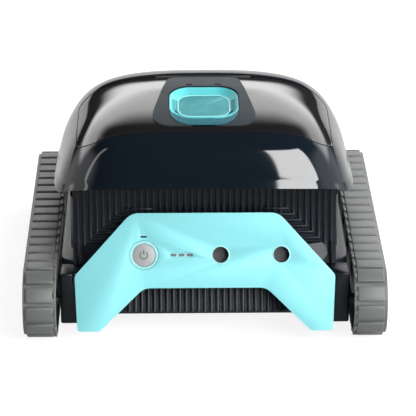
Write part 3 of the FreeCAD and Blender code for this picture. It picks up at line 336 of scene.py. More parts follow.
keep_nodes(soft_rubber, "brush_sleeve", "duct_gasket")
keep_nodes(resist, "control_board", "front_board")
keep_nodes(foam, "foam_floats")
keep_nodes(mesh_cloth, "filter_meshes")

# ---------------------------------------------------------------------------------------------
# Belt tracks: one-piece moulded rubber loops, level ovals with raised tread pads, a nub at each
# pad's inner end and a flange along both edges. They run round the wheels at each side.
# ---------------------------------------------------------------------------------------------
belt_low, belt_high = [Vector(corner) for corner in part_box("track_belt_right")]
belt_width = belt_high.x - belt_low.x
belt_radius = (belt_high.z - belt_low.z) / 2
wheel_y = belt_high.y - belt_radius
PAD_COUNT = 42
PAD_HEIGHT = 0.0030
PAD_WIDTH = 0.0300
PAD_ROUNDING = 0.0016
PAD_STEPS = 4           # cuts across a pad, so that it bends round the wheels
GROOVE = 0.0045
NUB_LENGTH = 0.0058
NUB_WIDTH = 0.0032
NUB_ROUNDING = 0.0011
NUB_GAP = 0.0001
NUB_DROP = 0.0002       # how far a nub stays below the pads
BLOCK_ROOT = 0.0008     # how far pads and nubs reach into the band
BAND_HEIGHT = 0.0035
BAND_CORNER = 0.0006
BAND_SHOULDER = 0.0008
STEPS_PER_PAD = 6
loop_length = 4 * wheel_y + 2 * math.pi * belt_radius
pad_pitch = loop_length / PAD_COUNT
quarter = math.pi * belt_radius / 2
run = 2 * wheel_y


def on_loop(distance, height):
    """(y, z) on the oval, a distance along it from its foremost point, a height above its band."""
    radius = belt_radius - PAD_HEIGHT + height
    distance = distance % loop_length
    if distance < quarter or distance > 3 * quarter + 2 * run:
        angle = distance / belt_radius if distance < quarter else (distance - loop_length) / belt_radius
        return -wheel_y - radius * math.cos(angle), radius * math.sin(angle)
    if distance < quarter + run:
        return -wheel_y + distance - quarter, radius
    if distance < 3 * quarter + run:
        angle = (distance - quarter - run) / belt_radius
        return wheel_y + radius * math.sin(angle), radius * math.cos(angle)
    return wheel_y - (distance - 3 * quarter - run), -radius


def block(mesh, size, middle, rounding=0.0, segments=3):
    """A block of a size about its middle, with all its edges rounded if asked."""
    corners = bmesh.ops.create_cube(mesh, size=1.0)["verts"]
    bmesh.ops.scale(mesh, vec=size, verts=corners)
    bmesh.ops.translate(mesh, vec=middle, verts=corners)
    if rounding:
        edges = {edge for corner in corners for edge in corner.link_edges}
        bmesh.ops.bevel(mesh, geom=list(edges), offset=rounding, offset_type="OFFSET",
                        affect="EDGES", segments=segments, profile=0.5)


def edge_loop(mesh, points):
    """A closed loop of edges through (x, y, z) points."""
    verts = [mesh.verts.new(point) for point in points]
    return [mesh.edges.new((verts[i - 1], verts[i])) for i in range(len(verts))]


def bridged(mesh, loops, closed=False):
    """Faces from each loop to the next, and from the last to the first if closed."""
    following = loops[1:] + loops[:1] if closed else loops[1:]
    for loop, after in zip(loops, following):
        bmesh.ops.bridge_loops(mesh, edges=loop + after)


def tread_block(name, length, across, height, offset, steps, rounding):
    """A rounded rubber block on the flat strip: x across, y along, z up from the band."""
    mesh = bmesh.new()
    block(mesh, (across, length, height + BLOCK_ROOT), (offset, 0, (height - BLOCK_ROOT) / 2))
    edges = [edge for edge in mesh.edges if not all(vert.co.z < 0 for vert in edge.verts)]
    bmesh.ops.bevel(mesh, geom=edges, offset=rounding, offset_type="OFFSET", affect="EDGES",
                    segments=3, profile=0.5, material=-1)
    for step in range(1, steps):
        cut_at = -length / 2 + length * step / steps
        bmesh.ops.bisect_plane(mesh, geom=mesh.verts[:] + mesh.edges[:] + mesh.faces[:],
                               plane_co=(0, cut_at, 0), plane_no=(0, 1, 0))
    return as_data(name, mesh)


tread_pad = tread_block("tread_pad", pad_pitch - GROOVE, PAD_WIDTH, PAD_HEIGHT, 0, PAD_STEPS,
                        PAD_ROUNDING)
tread_nub = tread_block("tread_nub", NUB_LENGTH, NUB_WIDTH, PAD_HEIGHT - NUB_DROP,
                        -(PAD_WIDTH + NUB_WIDTH) / 2 - NUB_GAP, 1, NUB_ROUNDING)
rubber = finish("belt_rubber", (0.150, 0.160, 0.153), 0.50, grain=0.22, grain_scale=850.0,
                variation=0.10, scuff=0.10)
half = belt_width / 2
band_steps = PAD_COUNT * STEPS_PER_PAD
band_section = [(-half, -BAND_CORNER), (-half + BAND_SHOULDER, 0.0), (half - BAND_SHOULDER, 0.0),
                (half, -BAND_CORNER), (half, -BAND_HEIGHT + BAND_CORNER),
                (half - BAND_CORNER, -BAND_HEIGHT), (-half + BAND_CORNER, -BAND_HEIGHT),
                (-half, -BAND_HEIGHT + BAND_CORNER)]
for side, sign in (("left", -1), ("right", 1)):
    strip = bmesh.new()
    for number in range(PAD_COUNT):
        for stamp in (tread_pad, tread_nub):
            before = len(strip.verts)
            strip.from_mesh(stamp)
            strip.verts.ensure_lookup_table()
            bmesh.ops.translate(strip, vec=(0, number * pad_pitch, 0), verts=strip.verts[before:])
    bridged(strip, [edge_loop(strip, [(x, loop_length * step / band_steps, z)
                                      for x, z in band_section])
                    for step in range(band_steps)], closed=True)
    for vert in strip.verts:
        y, z = on_loop(vert.co.y, vert.co.z)
        vert.co = (vert.co.x, y, z + belt_radius)
    if sign < 0:
        bmesh.ops.scale(strip, vec=(-1, 1, 1), verts=strip.verts)
    bmesh.ops.translate(strip, vec=(sign * (belt_low.x + half), 0, 0), verts=strip.verts)
    bmesh.ops.recalc_face_normals(strip, faces=strip.faces)
    new_piece("belt_" + side, strip, rubber, "root", ["track_belt_" + side])
    new_piece("wheel_cover_" + side, softened("side_cover_" + side, 0.0011), navy, "root",
              ["side_cover_" + side])

# ---------------------------------------------------------------------------------------------
# Front cowl: a navy moulding with upright ribs behind the bezel. Its top and ends come from the
# CAD node's box; the ribs are rounded, and their feet make a scalloped lower edge.
# ---------------------------------------------------------------------------------------------
cowl_high = Vector(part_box("front_cowl")[1])
block_low, block_high = [Vector(corner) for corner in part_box("corner_block_right")]
RIB_PITCH = 0.0070
RIB_WIDTH = 0.0044
RIB_PROUD = 0.0030
RIB_ROOT = 0.0008       # how far the ribs reach into the wall
RIB_ROUNDING = 0.0014
ELBOW_X = 0.0840        # from here outwards the ribs turn level, in steps down to the last elbow
ELBOW_LAST_X = 0.1270
ELBOW_Z = 0.1440
ELBOW_SLOPE = 0.905
OUTER_FOOT = 0.0990     # where the ribs outside the last elbow end
LEVEL_RUN = 0.0340
LEVEL_HEIGHT = 0.0040
LEVEL_DROP = 0.0006
COWL_WALL = 0.0030
UPPER_BEND = 0.1400
LOWER_BEND = 0.0400
BLOCK_GAP_X = 0.0003
BLOCK_GAP_Z = 0.0004
cowl_half = cowl_high.x
wall_y = front_y + 0.0720
cowl_path = [(0, wall_y, cowl_high.z), (0, wall_y, UPPER_BEND), (0, front_y + 0.0460, LOWER_BEND),
             (0, front_y + 0.0370, 0.0290)]


def path_y(path, z):
    """The y of an (x, y, z) path at a height."""
    for (_, y_above, z_above), (_, y_below, z_below) in zip(path, path[1:]):
        if z_below <= z <= z_above:
            part = (z_above - z) / max(1e-9, z_above - z_below)
            return y_above + (y_below - y_above) * part
    return path[0][1] if z > path[0][2] else path[-1][1]


def cowl_run(x, foot):
    """The cowl's path at x, from its top down to a foot."""
    points = [(x, y, z) for _, y, z in cowl_path if z > foot]
    if foot > LOWER_BEND:
        points.append((x, path_y(cowl_path, foot), foot))
    return points


def swept_bar(mesh, path, width_x, proud, thick, rounding=0.0):
    """A bar of oblong section run along an (x, y, z) path, its front edges rounded if asked."""
    x_start, y_start, z_start = path[0]
    made = [mesh.verts.new((x_start + x, y_start + y, z_start))
            for x, y in ((-width_x / 2, -proud), (width_x / 2, -proud), (width_x / 2, thick),
                         (-width_x / 2, thick))]
    end = mesh.faces.new(made)
    for place, before in zip(path[1:], path):
        out = bmesh.ops.extrude_face_region(mesh, geom=[end])
        moved = [item for item in out["geom"] if isinstance(item, bmesh.types.BMVert)]
        bmesh.ops.translate(mesh, vec=Vector(place) - Vector(before), verts=moved)
        bmesh.ops.delete(mesh, geom=[end], context="FACES_ONLY")
        end = next(item for item in out["geom"] if isinstance(item, bmesh.types.BMFace))
        made += moved
    if not rounding:
        return
    front_edges = [edge for edge in {edge for vert in made for edge in vert.link_edges}
                   if abs(edge.verts[0].co.x - edge.verts[1].co.x) < 1e-7
                   and len(edge.link_faces) == 2
                   and all(vert.co.y < path_y(path, vert.co.z) for vert in edge.verts)]
    bmesh.ops.bevel(mesh, geom=front_edges, offset=rounding, offset_type="OFFSET",
                    affect="EDGES", segments=3, profile=0.5, material=-1)


def slab(mesh, base, cap):
    """A closed solid between two outlines with as many (x, y, z) points as each other."""
    low = [mesh.verts.new(point) for point in base]
    top = [mesh.verts.new(point) for point in cap]
    mesh.faces.new(top)
    mesh.faces.new(low[::-1])
    for i in range(len(low)):
        mesh.faces.new((low[i - 1], low[i], top[i], top[i - 1]))


cowl_mesh = bmesh.new()
rib_count = int(2 * (cowl_half - RIB_WIDTH / 2) / RIB_PITCH)
for number in range(rib_count + 1):
    x = (number - rib_count / 2) * RIB_PITCH
    foot = 0.0
    if abs(x) > ELBOW_LAST_X:
        foot = OUTER_FOOT
    elif abs(x) > ELBOW_X:
        foot = ELBOW_Z - ELBOW_SLOPE * (abs(x) - ELBOW_X)
    swept_bar(cowl_mesh, cowl_run(x, foot), RIB_WIDTH, RIB_PROUD, RIB_ROOT, RIB_ROUNDING)
    if ELBOW_X < abs(x) <= ELBOW_LAST_X:
        middle_x = x - math.copysign(LEVEL_RUN / 2 - RIB_WIDTH / 4, x)
        middle_y = path_y(cowl_path, foot) - (RIB_PROUD - RIB_ROOT) / 2
        block(cowl_mesh, (LEVEL_RUN + RIB_WIDTH / 2, RIB_PROUD + RIB_ROOT, LEVEL_HEIGHT),
              (middle_x, middle_y, foot - LEVEL_DROP), rounding=0.0012)

# a smooth facet below the last elbow, and a thin upright fin outside it
FACET_INNER = 0.1120
FACET_OUTER = 0.1360
FACET_TOP = 0.1010
FACET_FOOT = 0.0800
FACET_ROOT = 0.0010
FACET_PROUD = 0.0080
FACET_LEAN = 0.12       # how much further forwards it comes for each metre down
FACET_TURN = 0.30       # how much further back it lies for each metre outwards
FIN_X = 0.1400
FIN_Z = 0.0895
facet = [(FACET_INNER, FACET_TOP), (FACET_OUTER, FACET_TOP), (FACET_OUTER, 0.0880),
         (0.1290, FACET_FOOT), (0.1240, FACET_FOOT)]
for sign in (-1, 1):
    slab(cowl_mesh, [(sign * x, path_y(cowl_path, z) + FACET_ROOT, z) for x, z in facet],
         [(sign * x, path_y(cowl_path, z) - FACET_PROUD - (FACET_TOP - z) * FACET_LEAN
           + (x - FACET_INNER) * FACET_TURN, z) for x, z in facet])
    block(cowl_mesh, (0.0018, 0.0090, 0.0250), (sign * FIN_X, path_y(cowl_path, 0.0880) - 0.0020,
                                                FIN_Z), rounding=0.0005, segments=2)
inner_edge = block_low.x - BLOCK_GAP_X
block_top = block_high.z + BLOCK_GAP_Z
for start, end, foot in ((-cowl_half, -inner_edge, block_top), (-inner_edge, inner_edge, 0.0),
                         (inner_edge, cowl_half, block_top)):
    swept_bar(cowl_mesh, cowl_run((start + end) / 2, foot), end - start, 0.0, COWL_WALL)
bmesh.ops.recalc_face_normals(cowl_mesh, faces=cowl_mesh.faces)
# the ribs' navy is painted much darker than the tub's navy: painted shade from the rim above them, not
# a darker plastic
shaded_rib_paint = finish("ribbed_navy_painted_shade", (0.0035, 0.0065, 0.0100), 0.34, grain=0.06, specular=0.26)
new_piece("ribbed_cowl", cowl_mesh, shaded_rib_paint, "root", ["front_cowl"])

# the corner bumpers share the ribs' darkened navy, painted shade included
for side in ("left", "right"):
    new_piece("corner_bumper_" + side, softened("corner_block_" + side, 0.0022, 3), shaded_rib_paint,
              "root", ["corner_block_" + side])

# ---------------------------------------------------------------------------------------------
# Front bezel and its controls: one satin aqua moulding, tilted back, with a round power button
# in a light ring, a status slit, a three-window battery gauge and two round charging ports.
# ---------------------------------------------------------------------------------------------
aqua = finish("aqua_satin", (0.285, 0.800, 0.845), 0.40, grain=0.03, variation=0.015, scuff=0.05,
              waviness=0.04)
new_piece("bezel", softened("front_bezel", 0.0011, 3), aqua, "root",
          ["front_bezel"])
button_grey = finish("button_satin", (0.42, 0.43, 0.43), 0.36, grain=0.04, variation=0.03)
new_piece("button_cap", softened("power_button", 0.0007, 3), button_grey, "button",
          ["power_button"])
ring_aqua = finish("ring_aqua", (0.42, 0.86, 0.89), 0.3, grain=0.02, variation=0.02)
new_piece("button_collar", softened("button_ring", 0.0009, 3), ring_aqua, "root",
          ["button_ring"])
keep_nodes(black, "charge_sockets")
lens_dark = finish("lens_dark", (0.035, 0.038, 0.04), 0.16, grain=0.0, scuff=0.03)
lens_grey = finish("lens_grey", (0.20, 0.23, 0.24), 0.22, grain=0.0, scuff=0.03)
keep_nodes(lens_dark, "led_lens")
keep_nodes(ring_aqua, "gauge_frame")
keep_nodes(lens_grey, "gauge_windows")

# places on the bezel: across, up its face, and out from it
BEZEL_SETBACK = 0.0070
BEZEL_FOOT = 0.0180
BEZEL_TILT = math.radians(67.5)
CONTROL_UP = 0.0837
BUTTON_ACROSS = -0.0672
PORTS_ACROSS = (0.0173, 0.0842)
ICON_RADIUS = 0.0042
ICON_STROKE = 0.0010
ICON_GAP = 38           # degrees, on each side of the bar
ICON_STEPS = 36
ICON_BASE = -0.0011
ICON_TOP = -0.0008
LIP_STEPS = 48
# radius, and height out from the bezel
LIP_SECTION = [(0.00895, -0.0010), (0.00895, 0.0002), (0.00930, 0.0004), (0.01010, 0.0002),
               (0.01040, -0.0010)]
bezel_turn = (Matrix.Translation((0, front_y + BEZEL_SETBACK, BEZEL_FOOT))
              @ Matrix.Rotation(BEZEL_TILT, 4, "X"))


def on_circle(radius, degrees, centre=(0.0, 0.0)):
    """(x, y) on a circle."""
    angle = math.radians(degrees)
    return centre[0] + radius * math.cos(angle), centre[1] + radius * math.sin(angle)


def icon_stroke(mesh, outline):
    """A part of the power symbol, a little above the button's face."""
    slab(mesh, [(x, y, ICON_BASE) for x, y in outline], [(x, y, ICON_TOP) for x, y in outline])


icon = bmesh.new()
outside, inside = ICON_RADIUS + ICON_STROKE / 2, ICON_RADIUS - ICON_STROKE / 2
bearings = [90 + ICON_GAP + (360 - 2 * ICON_GAP) * step / ICON_STEPS
            for step in range(ICON_STEPS + 1)]
for first, second in zip(bearings, bearings[1:]):
    icon_stroke(icon, [on_circle(outside, first), on_circle(outside, second),
                       on_circle(inside, second), on_circle(inside, first)])
icon_stroke(icon, [(-ICON_STROKE / 2, 0.0008), (ICON_STROKE / 2, 0.0008),
                   (ICON_STROKE / 2, 0.0056), (-ICON_STROKE / 2, 0.0056)])
bmesh.ops.recalc_face_normals(icon, faces=icon.faces)
icon.transform(bezel_turn @ Matrix.Translation((BUTTON_ACROSS, CONTROL_UP, 0)))
icon_dark = finish("icon_print", (0.045, 0.050, 0.055), 0.5)
new_piece("button_icon", icon, icon_dark, "button")

# a light chamfered lip stands round each charging port
port_lips = bmesh.new()
for port_across in PORTS_ACROSS:
    bridged(port_lips, [edge_loop(port_lips, [
        (*on_circle(radius, 360 * step / LIP_STEPS, (port_across, CONTROL_UP)), out)
        for step in range(LIP_STEPS)]) for radius, out in LIP_SECTION], closed=True)
bmesh.ops.recalc_face_normals(port_lips, faces=port_lips.faces)
port_lips.transform(bezel_turn)
new_piece("port_lips", port_lips, ring_aqua, "root")

# ---------------------------------------------------------------------------------------------
# Shroud and hatch: one domed surface in high-gloss navy, with the smoky hatch cut out of its top.
# Both are moulded shells; the hatch turns on a pin along its rear edge.
# ---------------------------------------------------------------------------------------------
hatch_low, hatch_high = [Vector(corner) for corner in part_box("hatch")]
SHELL_WALL = 0.0025
SPINE_RISE = 0.0014     # how far the spine stands above the dome
WAIST = front_y + 0.1760
TOP = top_z - SPINE_RISE
# height below the top, and at that level: front, rear and half-width, from the machine's
# front and middle
DOME = [(0.1400, 0.0340, 0.4000, 0.1680), (0.1180, 0.0350, 0.3960, 0.1680),
        (0.0980, 0.0370, 0.3890, 0.1660), (0.0740, 0.0420, 0.3700, 0.1590),
        (0.0480, 0.0490, 0.3400, 0.1470), (0.0330, 0.0580, 0.3120, 0.1370),
        (0.0200, 0.0750, 0.2800, 0.1240), (0.0120, 0.0980, 0.2550, 0.1090),
        (0.0060, 0.1250, 0.2300, 0.0900), (0.0020, 0.1500, 0.2050, 0.0660),
        (0.0000, 0.1660, 0.1870, 0.0280)]
DOME_POINTS = 160
# the powers of the plan's curve: the larger, the squarer
FRONT_POWER = 5.0
REAR_POWER = 2.6
REAR_POWER_GAIN = 12.0          # for each metre down, as far as POWER_DEPTH
POWER_DEPTH = 0.1


def dome_row(drop):
    """Front, rear and half-width at a drop below the top, on smooth curves through DOME."""
    rows = DOME[::-1]
    # the plan shrinks to nothing like the square root of the drop, so curves are drawn in its root
    root = math.sqrt(drop)
    knots = [math.sqrt(row[0]) for row in rows]
    index = max(0, min(len(rows) - 2, sum(1 for knot in knots if knot <= root) - 1))
    span = knots[index + 1] - knots[index]
    part = (root - knots[index]) / span
    values = []
    for column in (1, 2, 3):
        here, there = rows[index][column], rows[index + 1][column]
        before = rows[index - 1][column] if index > 0 else here
        after = rows[index + 2][column] if index + 2 < len(rows) else there
        gap_in = knots[index] - knots[index - 1] if index > 0 else span
        gap_out = knots[index + 2] - knots[index + 1] if index + 2 < len(rows) else span
        tangent_in = (there - before) / (span + gap_in) * span
        tangent_out = (after - here) / (span + gap_out) * span
        a, b = part * part, part * part * part
        values.append(here * (2 * b - 3 * a + 1) + tangent_in * (b - 2 * a + part)
                      + there * (3 * a - 2 * b) + tangent_out * (b - a))
    return values


def dome_ring(mesh, drop, inset):
    """One level's outline as a closed loop of edges: squarish in front, rounder behind."""
    fore, aft, half = dome_row(drop)
    fore = WAIST - (front_y + fore) - inset
    aft = front_y + aft - WAIST - inset
    half -= inset
    rear_power = REAR_POWER + REAR_POWER_GAIN * min(drop, POWER_DEPTH)
    outline = []
    for step in range(DOME_POINTS):
        angle = 2 * math.pi * step / DOME_POINTS
        reach, power = (aft, rear_power) if math.sin(angle) > 0 else (fore, FRONT_POWER)
        radius = (abs(math.cos(angle) / half) ** power
                  + abs(math.sin(angle) / reach) ** power) ** (-1 / power)
        outline.append((radius * math.cos(angle), WAIST + radius * math.sin(angle),
                        TOP - inset - drop))
    return edge_loop(mesh, outline)


def dome_solid(name, inset, base, levels=46):
    """The dome as a closed solid down to a base drop, drawn in by an inset."""
    mesh = bmesh.new()
    drops = [0.00003] + [base * (step / levels) ** 2 for step in range(1, levels + 1)]
    rings = [dome_ring(mesh, drop, inset) for drop in drops]
    bridged(mesh, rings)
    bmesh.ops.holes_fill(mesh, edges=rings[0] + rings[-1], sides=0)
    bmesh.ops.recalc_face_normals(mesh, faces=mesh.faces)
    return as_object(name, as_data(name, mesh))


def extruded(name, outline, along):
    """A solid from a flat outline of (x, y, z) points, drawn along a vector."""
    mesh = bmesh.new()
    face = mesh.faces.new([mesh.verts.new(point) for point in outline])
    out = bmesh.ops.extrude_face_region(mesh, geom=[face])
    moved = [item for item in out["geom"] if isinstance(item, bmesh.types.BMVert)]
    bmesh.ops.translate(mesh, vec=along, verts=moved)
    bmesh.ops.recalc_face_normals(mesh, faces=mesh.faces)
    return as_object(name, as_data(name, mesh))


def prism(name, outline, bottom, top):
    """An upright block from a plan outline."""
    return extruded(name, [(x, y, bottom) for x, y in outline], (0, 0, top - bottom))
    return as_object(name, mesh)


def round_plan(half_x, near, far, radius_near, radius_far, steps=14):
    """Plan outline of a rounded rectangle, anticlockwise from its front left corner."""
    points = []
    for cx, cy, radius, start in ((-half_x + radius_near, near + radius_near, radius_near, 180),
                                  (half_x - radius_near, near + radius_near, radius_near, 270),
                                  (half_x - radius_far, far - radius_far, radius_far, 0),
                                  (-half_x + radius_far, far - radius_far, radius_far, 90)):
        points += [on_circle(radius, start + 90 * step / steps, (cx, cy))
                   for step in range(steps + 1)]
    return points


def combined(base, steps):
    """The base object's mesh after booleans with other objects, all of which stay as they are."""
    for operation, tool in steps:
        change = base.modifiers.new(operation, "BOOLEAN")
        change.operation = operation
        change.solver = "EXACT"
        change.object = tool
    bpy.context.view_layer.update()
    evaluated = base.evaluated_get(bpy.context.evaluated_depsgraph_get())
    mesh = bmesh.new()
    mesh.from_mesh(evaluated.data)
    base.modifiers.clear()
    return mesh


def discard(*things):
    """Removes objects that only helped to shape others."""
    for thing in things:
        data = thing.data
        bpy.data.objects.remove(thing)
        bpy.data.meshes.remove(data)


# the rim's lower edge lies in a plane that falls rearwards, then runs gently down to the rear
RIM_POINTS = [(-0.02, 0.2004), (0.04, 0.1740), (0.08, 0.1540), (0.45, 0.1130), (0.45, 0.02),
              (-0.02, 0.02)]
CUTTER_HALF = 0.3
SEAM = 0.0009
SEAM_REAR = 0.0022
HATCH_REAR_GAP = 0.0028
HATCH_CORNER = 0.0260
OPENING_CORNER = 0.0265
REAR_CORNER = 0.0060
SHELL_GAP = 0.0003
PLAN_BOTTOM, PLAN_TOP = 0.10, 0.30
rim_cutter = extruded("rim_cutter", [(-CUTTER_HALF, front_y + y, z) for y, z in RIM_POINTS],
                      (2 * CUTTER_HALF, 0, 0))
outer_dome = dome_solid("outer_dome", 0, 0.136)
inner_dome = dome_solid("inner_dome", SHELL_WALL, 0.140)
shell_mesh = combined(outer_dome, [("DIFFERENCE", inner_dome), ("DIFFERENCE", rim_cutter)])
shell = as_object("dome_shell", as_data("dome_shell", shell_mesh))
hatch_plan = prism("hatch_plan", round_plan(hatch_high.x, hatch_low.y,
                                            hatch_high.y - HATCH_REAR_GAP, HATCH_CORNER,
                                            REAR_CORNER), PLAN_BOTTOM, PLAN_TOP)
opening_plan = prism("opening_plan", round_plan(hatch_high.x + SEAM, hatch_low.y - SEAM,
                                                hatch_high.y + SEAM_REAR, OPENING_CORNER,
                                                REAR_CORNER), PLAN_BOTTOM, PLAN_TOP)
shroud_mesh = combined(shell, [("DIFFERENCE", opening_plan)])

# the outlet's mouth leans forward over the hatch's middle
OUTLET_HALF_X = 0.0390
OUTLET_HALF_Y = 0.0360
OUTLET_CORNER = 0.0240
OUTLET_TILT = math.radians(8.0)
OUTLET_DROP = 0.0070
outlet_y = front_y + 0.1290
outlet_turn = (Matrix.Translation((0, outlet_y, top_z - OUTLET_DROP))
               @ Matrix.Rotation(OUTLET_TILT, 4, "X"))
outlet_hole = prism("outlet_hole", round_plan(OUTLET_HALF_X + SHELL_GAP, -OUTLET_HALF_Y - SHELL_GAP,
                                              OUTLET_HALF_Y + SHELL_GAP, OUTLET_CORNER,
                                              OUTLET_CORNER), -0.04, 0.03)
outlet_hole.data.transform(outlet_turn)
hatch_mesh = combined(shell, [("INTERSECT", hatch_plan), ("DIFFERENCE", outlet_hole)])

# the rim's last ten millimetres flare outwards below a crease
RIM_BAND = 0.0100
RIM_FLARE = 0.0021
rim_runs = list(zip(RIM_POINTS[:3], RIM_POINTS[1:4]))
for (ya, za), (yb, zb) in rim_runs:
    along = Vector((0, yb - ya, zb - za)).normalized()
    bmesh.ops.bisect_plane(shroud_mesh, geom=shroud_mesh.verts[:] + shroud_mesh.edges[:]
                           + shroud_mesh.faces[:], plane_co=(0, front_y + ya, za + RIM_BAND),
                           plane_no=along.cross(Vector((1, 0, 0))))
for vert in shroud_mesh.verts:
    setback = vert.co.y - front_y
    for (ya, za), (yb, zb) in rim_runs:
        above = vert.co.z - (za + (zb - za) * (setback - ya) / (yb - ya))
        if ya <= setback <= yb and above < RIM_BAND:
            outward = Vector((vert.co.x, (vert.co.y - WAIST) * 0.9, 0))
            squarish = Vector((outward.x ** 3, outward.y ** 3, 0)).normalized()
            vert.co += squarish * RIM_FLARE * (1 - above / RIM_BAND)
            break

gloss_navy = finish("gloss_navy", (0.006, 0.011, 0.018), 0.07, grain=0.0, variation=0.05,
                    scuff=0.03, coat=0.3, coat_roughness=0.03, waviness=0.03)
smoke = finish("smoke_gloss", (0.012, 0.012, 0.013), 0.09, grain=0.0, variation=0.05, scuff=0.03,
               coat=0.5, coat_roughness=0.05, waviness=0.03)
new_piece("shroud_cover", shroud_mesh, gloss_navy, "root", ["shroud"])
new_piece("hatch_lid", hatch_mesh, smoke, "hatch", ["hatch"])
discard(rim_cutter, inner_dome, shell, hatch_plan, opening_plan)

# ---------------------------------------------------------------------------------------------
# Spine: a matt grey cover that follows the dome over the hatch's middle. It widens in a curve
# towards the front, has two small slots at the crest, and the outlet passes through it.
# ---------------------------------------------------------------------------------------------
SPINE_MARGIN = 0.0080
SPINE_FRONT_HALF = 0.0610
SPINE_WAIST_HALF = 0.0450
SPINE_REAR_HALF = 0.0390
spine_front = hatch_low.y + SPINE_MARGIN
spine_rear = front_y + 0.2030 - SPINE_MARGIN
waist_y = outlet_y + OUTLET_HALF_Y


def rounded_polygon(corners, steps=10):
    """Points round a closed outline of (x, y, radius) corners."""
    points = []
    for index, (x, y, radius) in enumerate(corners):
        corner = Vector((x, y))
        back = (Vector(corners[index - 1][:2]) - corner).normalized()
        ahead = (Vector(corners[(index + 1) % len(corners)][:2]) - corner).normalized()
        half = back.angle(ahead) / 2
        reach = min(radius / math.tan(half), 0.03)
        start, end = corner + back * reach, corner + ahead * reach
        for step in range(steps + 1):
            share = step / steps
            points.append(start * (1 - share) ** 2 + corner * 2 * share * (1 - share)
                          + end * share ** 2)
    return points


spine_half_plan = [(SPINE_FRONT_HALF, spine_front, 0.022), (SPINE_WAIST_HALF, waist_y, 0.040),
                   (SPINE_REAR_HALF, spine_rear, 0.010)]
spine_block = prism("spine_block", rounded_polygon(
    [(-spine_half_plan[0][0], *spine_half_plan[0][1:])] + spine_half_plan
    + [(-half_x, y, radius) for half_x, y, radius in spine_half_plan[:0:-1]]), 0.15, 0.30)
raised_dome = dome_solid("raised_dome", 0, 0.05, 60)
raised_dome.data.transform(Matrix.Translation((0, 0, SPINE_RISE)))
CREST_SLOT_X = 0.0160
CREST_SLOT_HALF_X = 0.0038
CREST_SLOT_HALF_Y = 0.0020
CREST_SLOT_CORNER = 0.0012
crest_y = front_y + 0.1690
crest_slots = []
for sign in (-1, 1):
    slot = prism("crest_slot", round_plan(CREST_SLOT_HALF_X, crest_y - CREST_SLOT_HALF_Y,
                                          crest_y + CREST_SLOT_HALF_Y, CREST_SLOT_CORNER,
                                          CREST_SLOT_CORNER, 4), 0.20, 0.30)
    slot.data.transform(Matrix.Translation((sign * CREST_SLOT_X, 0, 0)))
    crest_slots.append(slot)
spine_mesh = combined(raised_dome, [("INTERSECT", spine_block)]
                      + [("DIFFERENCE", tool) for tool in (outer_dome, outlet_hole, *crest_slots)])
matt_grey = finish("matt_grey", (0.040, 0.050, 0.057), 0.52, grain=0.16, variation=0.06,
                   specular=0.12)
new_piece("spine", spine_mesh, matt_grey, "hatch", ["spine_cover"], sharp=40.0)

# ---------------------------------------------------------------------------------------------
# Outlet: a satin teal cup that the pumped water leaves by, with a raised line round its floor,
# slats across it, slots up its side walls, and a darker collar on the spine below its lip.
# ---------------------------------------------------------------------------------------------
# half width, half depth, corner, height above the mouth's plane
CUP_RINGS = [
    (0.0388, 0.0358, 0.0238, -0.0160), (0.0388, 0.0358, 0.0238, -0.0006),
    (0.0384, 0.0354, 0.0235, 0.0004), (0.0376, 0.0346, 0.0228, 0.0006),
    (0.0366, 0.0336, 0.0220, 0.0000), (0.0355, 0.0325, 0.0210, -0.0012),
    (0.0302, 0.0262, 0.0160, -0.0052), (0.0292, 0.0252, 0.0150, -0.0058),
    (0.0290, 0.0250, 0.0148, -0.0047), (0.0281, 0.0241, 0.0139, -0.0047),
    (0.0279, 0.0239, 0.0137, -0.0060),
]
wall_top, wall_foot = CUP_RINGS[5], CUP_RINGS[6]
line_ring = CUP_RINGS[8]
# how much the floor's line is larger than its ring, and its height
LINE_SECTION = [(0.0002, -0.0050), (0.0001, -0.0043), (-0.0010, -0.0043), (-0.0012, -0.0050)]
SLAT_PITCH = 0.0052
SLAT_COUNT = 6
SLAT_START = -0.0185
SLAT_SIZE = (0.0030, 0.0022)    # depth and height
SLAT_Z = -0.0058
STRIP_SIZE = (0.0021, 0.0012)
STRIP_Z = -0.0060
WALL_SLOT_HALF = 0.0009
WALL_STRAIGHT = 0.0105  # the side walls are straight this far from the middle
WALL_LEAN = 0.45        # and turn inwards from there


def plan_loop(mesh, half_x, half_y, corner, height):
    """A loop of edges round a rounded rectangle about the middle, at a height."""
    plan = round_plan(half_x, -half_y, half_y, corner, corner)
    return edge_loop(mesh, [(x, y, height) for x, y in plan])


def floor_half(y):
    """Half the width of the cup's floor at a depth."""
    half_x, half_y, corner = CUP_RINGS[-1][:3]
    over = abs(y) - (half_y - corner)
    return half_x - corner + (math.sqrt(corner ** 2 - over ** 2) if over > 0 else corner)


cup = bmesh.new()
cup_loops = [plan_loop(cup, *ring) for ring in CUP_RINGS]
bridged(cup, cup_loops)
for end in (cup_loops[-1], cup_loops[0]):
    bmesh.ops.holes_fill(cup, edges=end, sides=0)
for number in range(SLAT_COUNT):
    y = SLAT_START + number * SLAT_PITCH
    block(cup, (2 * floor_half(y) - 0.002, *SLAT_SIZE), (0, y, SLAT_Z), rounding=0.0007,
          segments=2)
bmesh.ops.recalc_face_normals(cup, faces=cup.faces)
cup.transform(outlet_turn)
teal = finish("teal_satin", (0.125, 0.640, 0.680), 0.42, grain=0.05, variation=0.03)
new_piece("outlet", cup, teal, "hatch", ["outlet_cup"])

# dark strips between the slats are painted shade standing for the floor's open slots, inside a light
# raised line
floor_slots = bmesh.new()
for number in range(SLAT_COUNT - 1):
    y = SLAT_START + (number + 0.5) * SLAT_PITCH
    block(floor_slots, (2 * floor_half(y) - 0.003, *STRIP_SIZE), (0, y, STRIP_Z))
floor_slots.transform(outlet_turn)
painted_slot_shade = finish("painted_slot_shade", (0.025, 0.270, 0.300), 0.5)
new_piece("outlet_floor_slots", floor_slots, painted_slot_shade, "hatch")

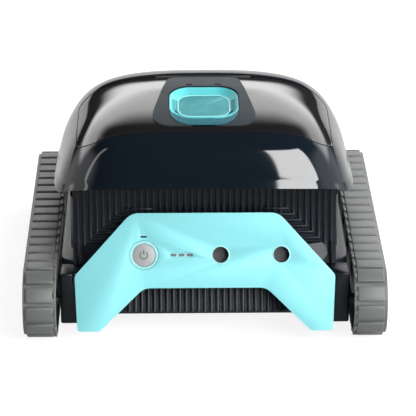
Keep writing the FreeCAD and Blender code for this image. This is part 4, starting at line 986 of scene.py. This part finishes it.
floor_line = bmesh.new()
bridged(floor_line, [plan_loop(floor_line, *[size + larger for size in line_ring[:3]], height)
                     for larger, height in LINE_SECTION], closed=True)
bmesh.ops.recalc_face_normals(floor_line, faces=floor_line.faces)
floor_line.transform(outlet_turn)
new_piece("outlet_floor_line", floor_line, ring_aqua, "hatch")

# slots up the side walls, which follow the walls round the corners, drawn as thin dark plates of
# painted shade lying on the walls
wall_slots = bmesh.new()
slot_foot = (wall_foot[0] + 0.0002, wall_foot[3] + 0.0002)
slot_top = (wall_top[0] - 0.0008, wall_top[3] - 0.0004)
for sign in (-1, 1):
    for number in range(SLAT_COUNT):
        y = SLAT_START + (number + 0.5) * SLAT_PITCH
        lean = max(0.0, abs(y) - WALL_STRAIGHT) * WALL_LEAN
        corners = [(sign * (x - lean), y + aside, z)
                   for (x, z), aside in ((slot_foot, -WALL_SLOT_HALF), (slot_top, -WALL_SLOT_HALF),
                                         (slot_top, WALL_SLOT_HALF), (slot_foot, WALL_SLOT_HALF))]
        slab(wall_slots, [(x, y, z - 0.0008) for x, y, z in corners],
             [(x, y, z + 0.0003) for x, y, z in corners])
bmesh.ops.recalc_face_normals(wall_slots, faces=wall_slots.faces)
wall_slots.transform(outlet_turn)
painted_wall_slot_shade = finish("painted_wall_slot_shade", (0.008, 0.050, 0.056), 0.6)
new_piece("outlet_slots", wall_slots, painted_wall_slot_shade, "hatch")

# the collar lies under the front of the lip, a little above the spine
COLLAR_RISE = 0.0007
COLLAR_REACH = 0.0100
collar_plan = prism("collar_plan", round_plan(0.0375, outlet_y - OUTLET_HALF_Y - COLLAR_REACH,
                                              outlet_y, OUTLET_CORNER, 0.004), 0.15, 0.30)
raised_dome.data.transform(Matrix.Translation((0, 0, COLLAR_RISE)))
collar_mesh = combined(raised_dome, [("INTERSECT", collar_plan), ("DIFFERENCE", outer_dome),
                                     ("DIFFERENCE", outlet_hole)])
collar_teal = finish("collar_teal", (0.018, 0.145, 0.185), 0.28, grain=0.03, variation=0.10)
new_piece("outlet_collar", collar_mesh, collar_teal, "hatch", sharp=40.0)
discard(outer_dome, raised_dome, outlet_hole, spine_block, collar_plan, *crest_slots)
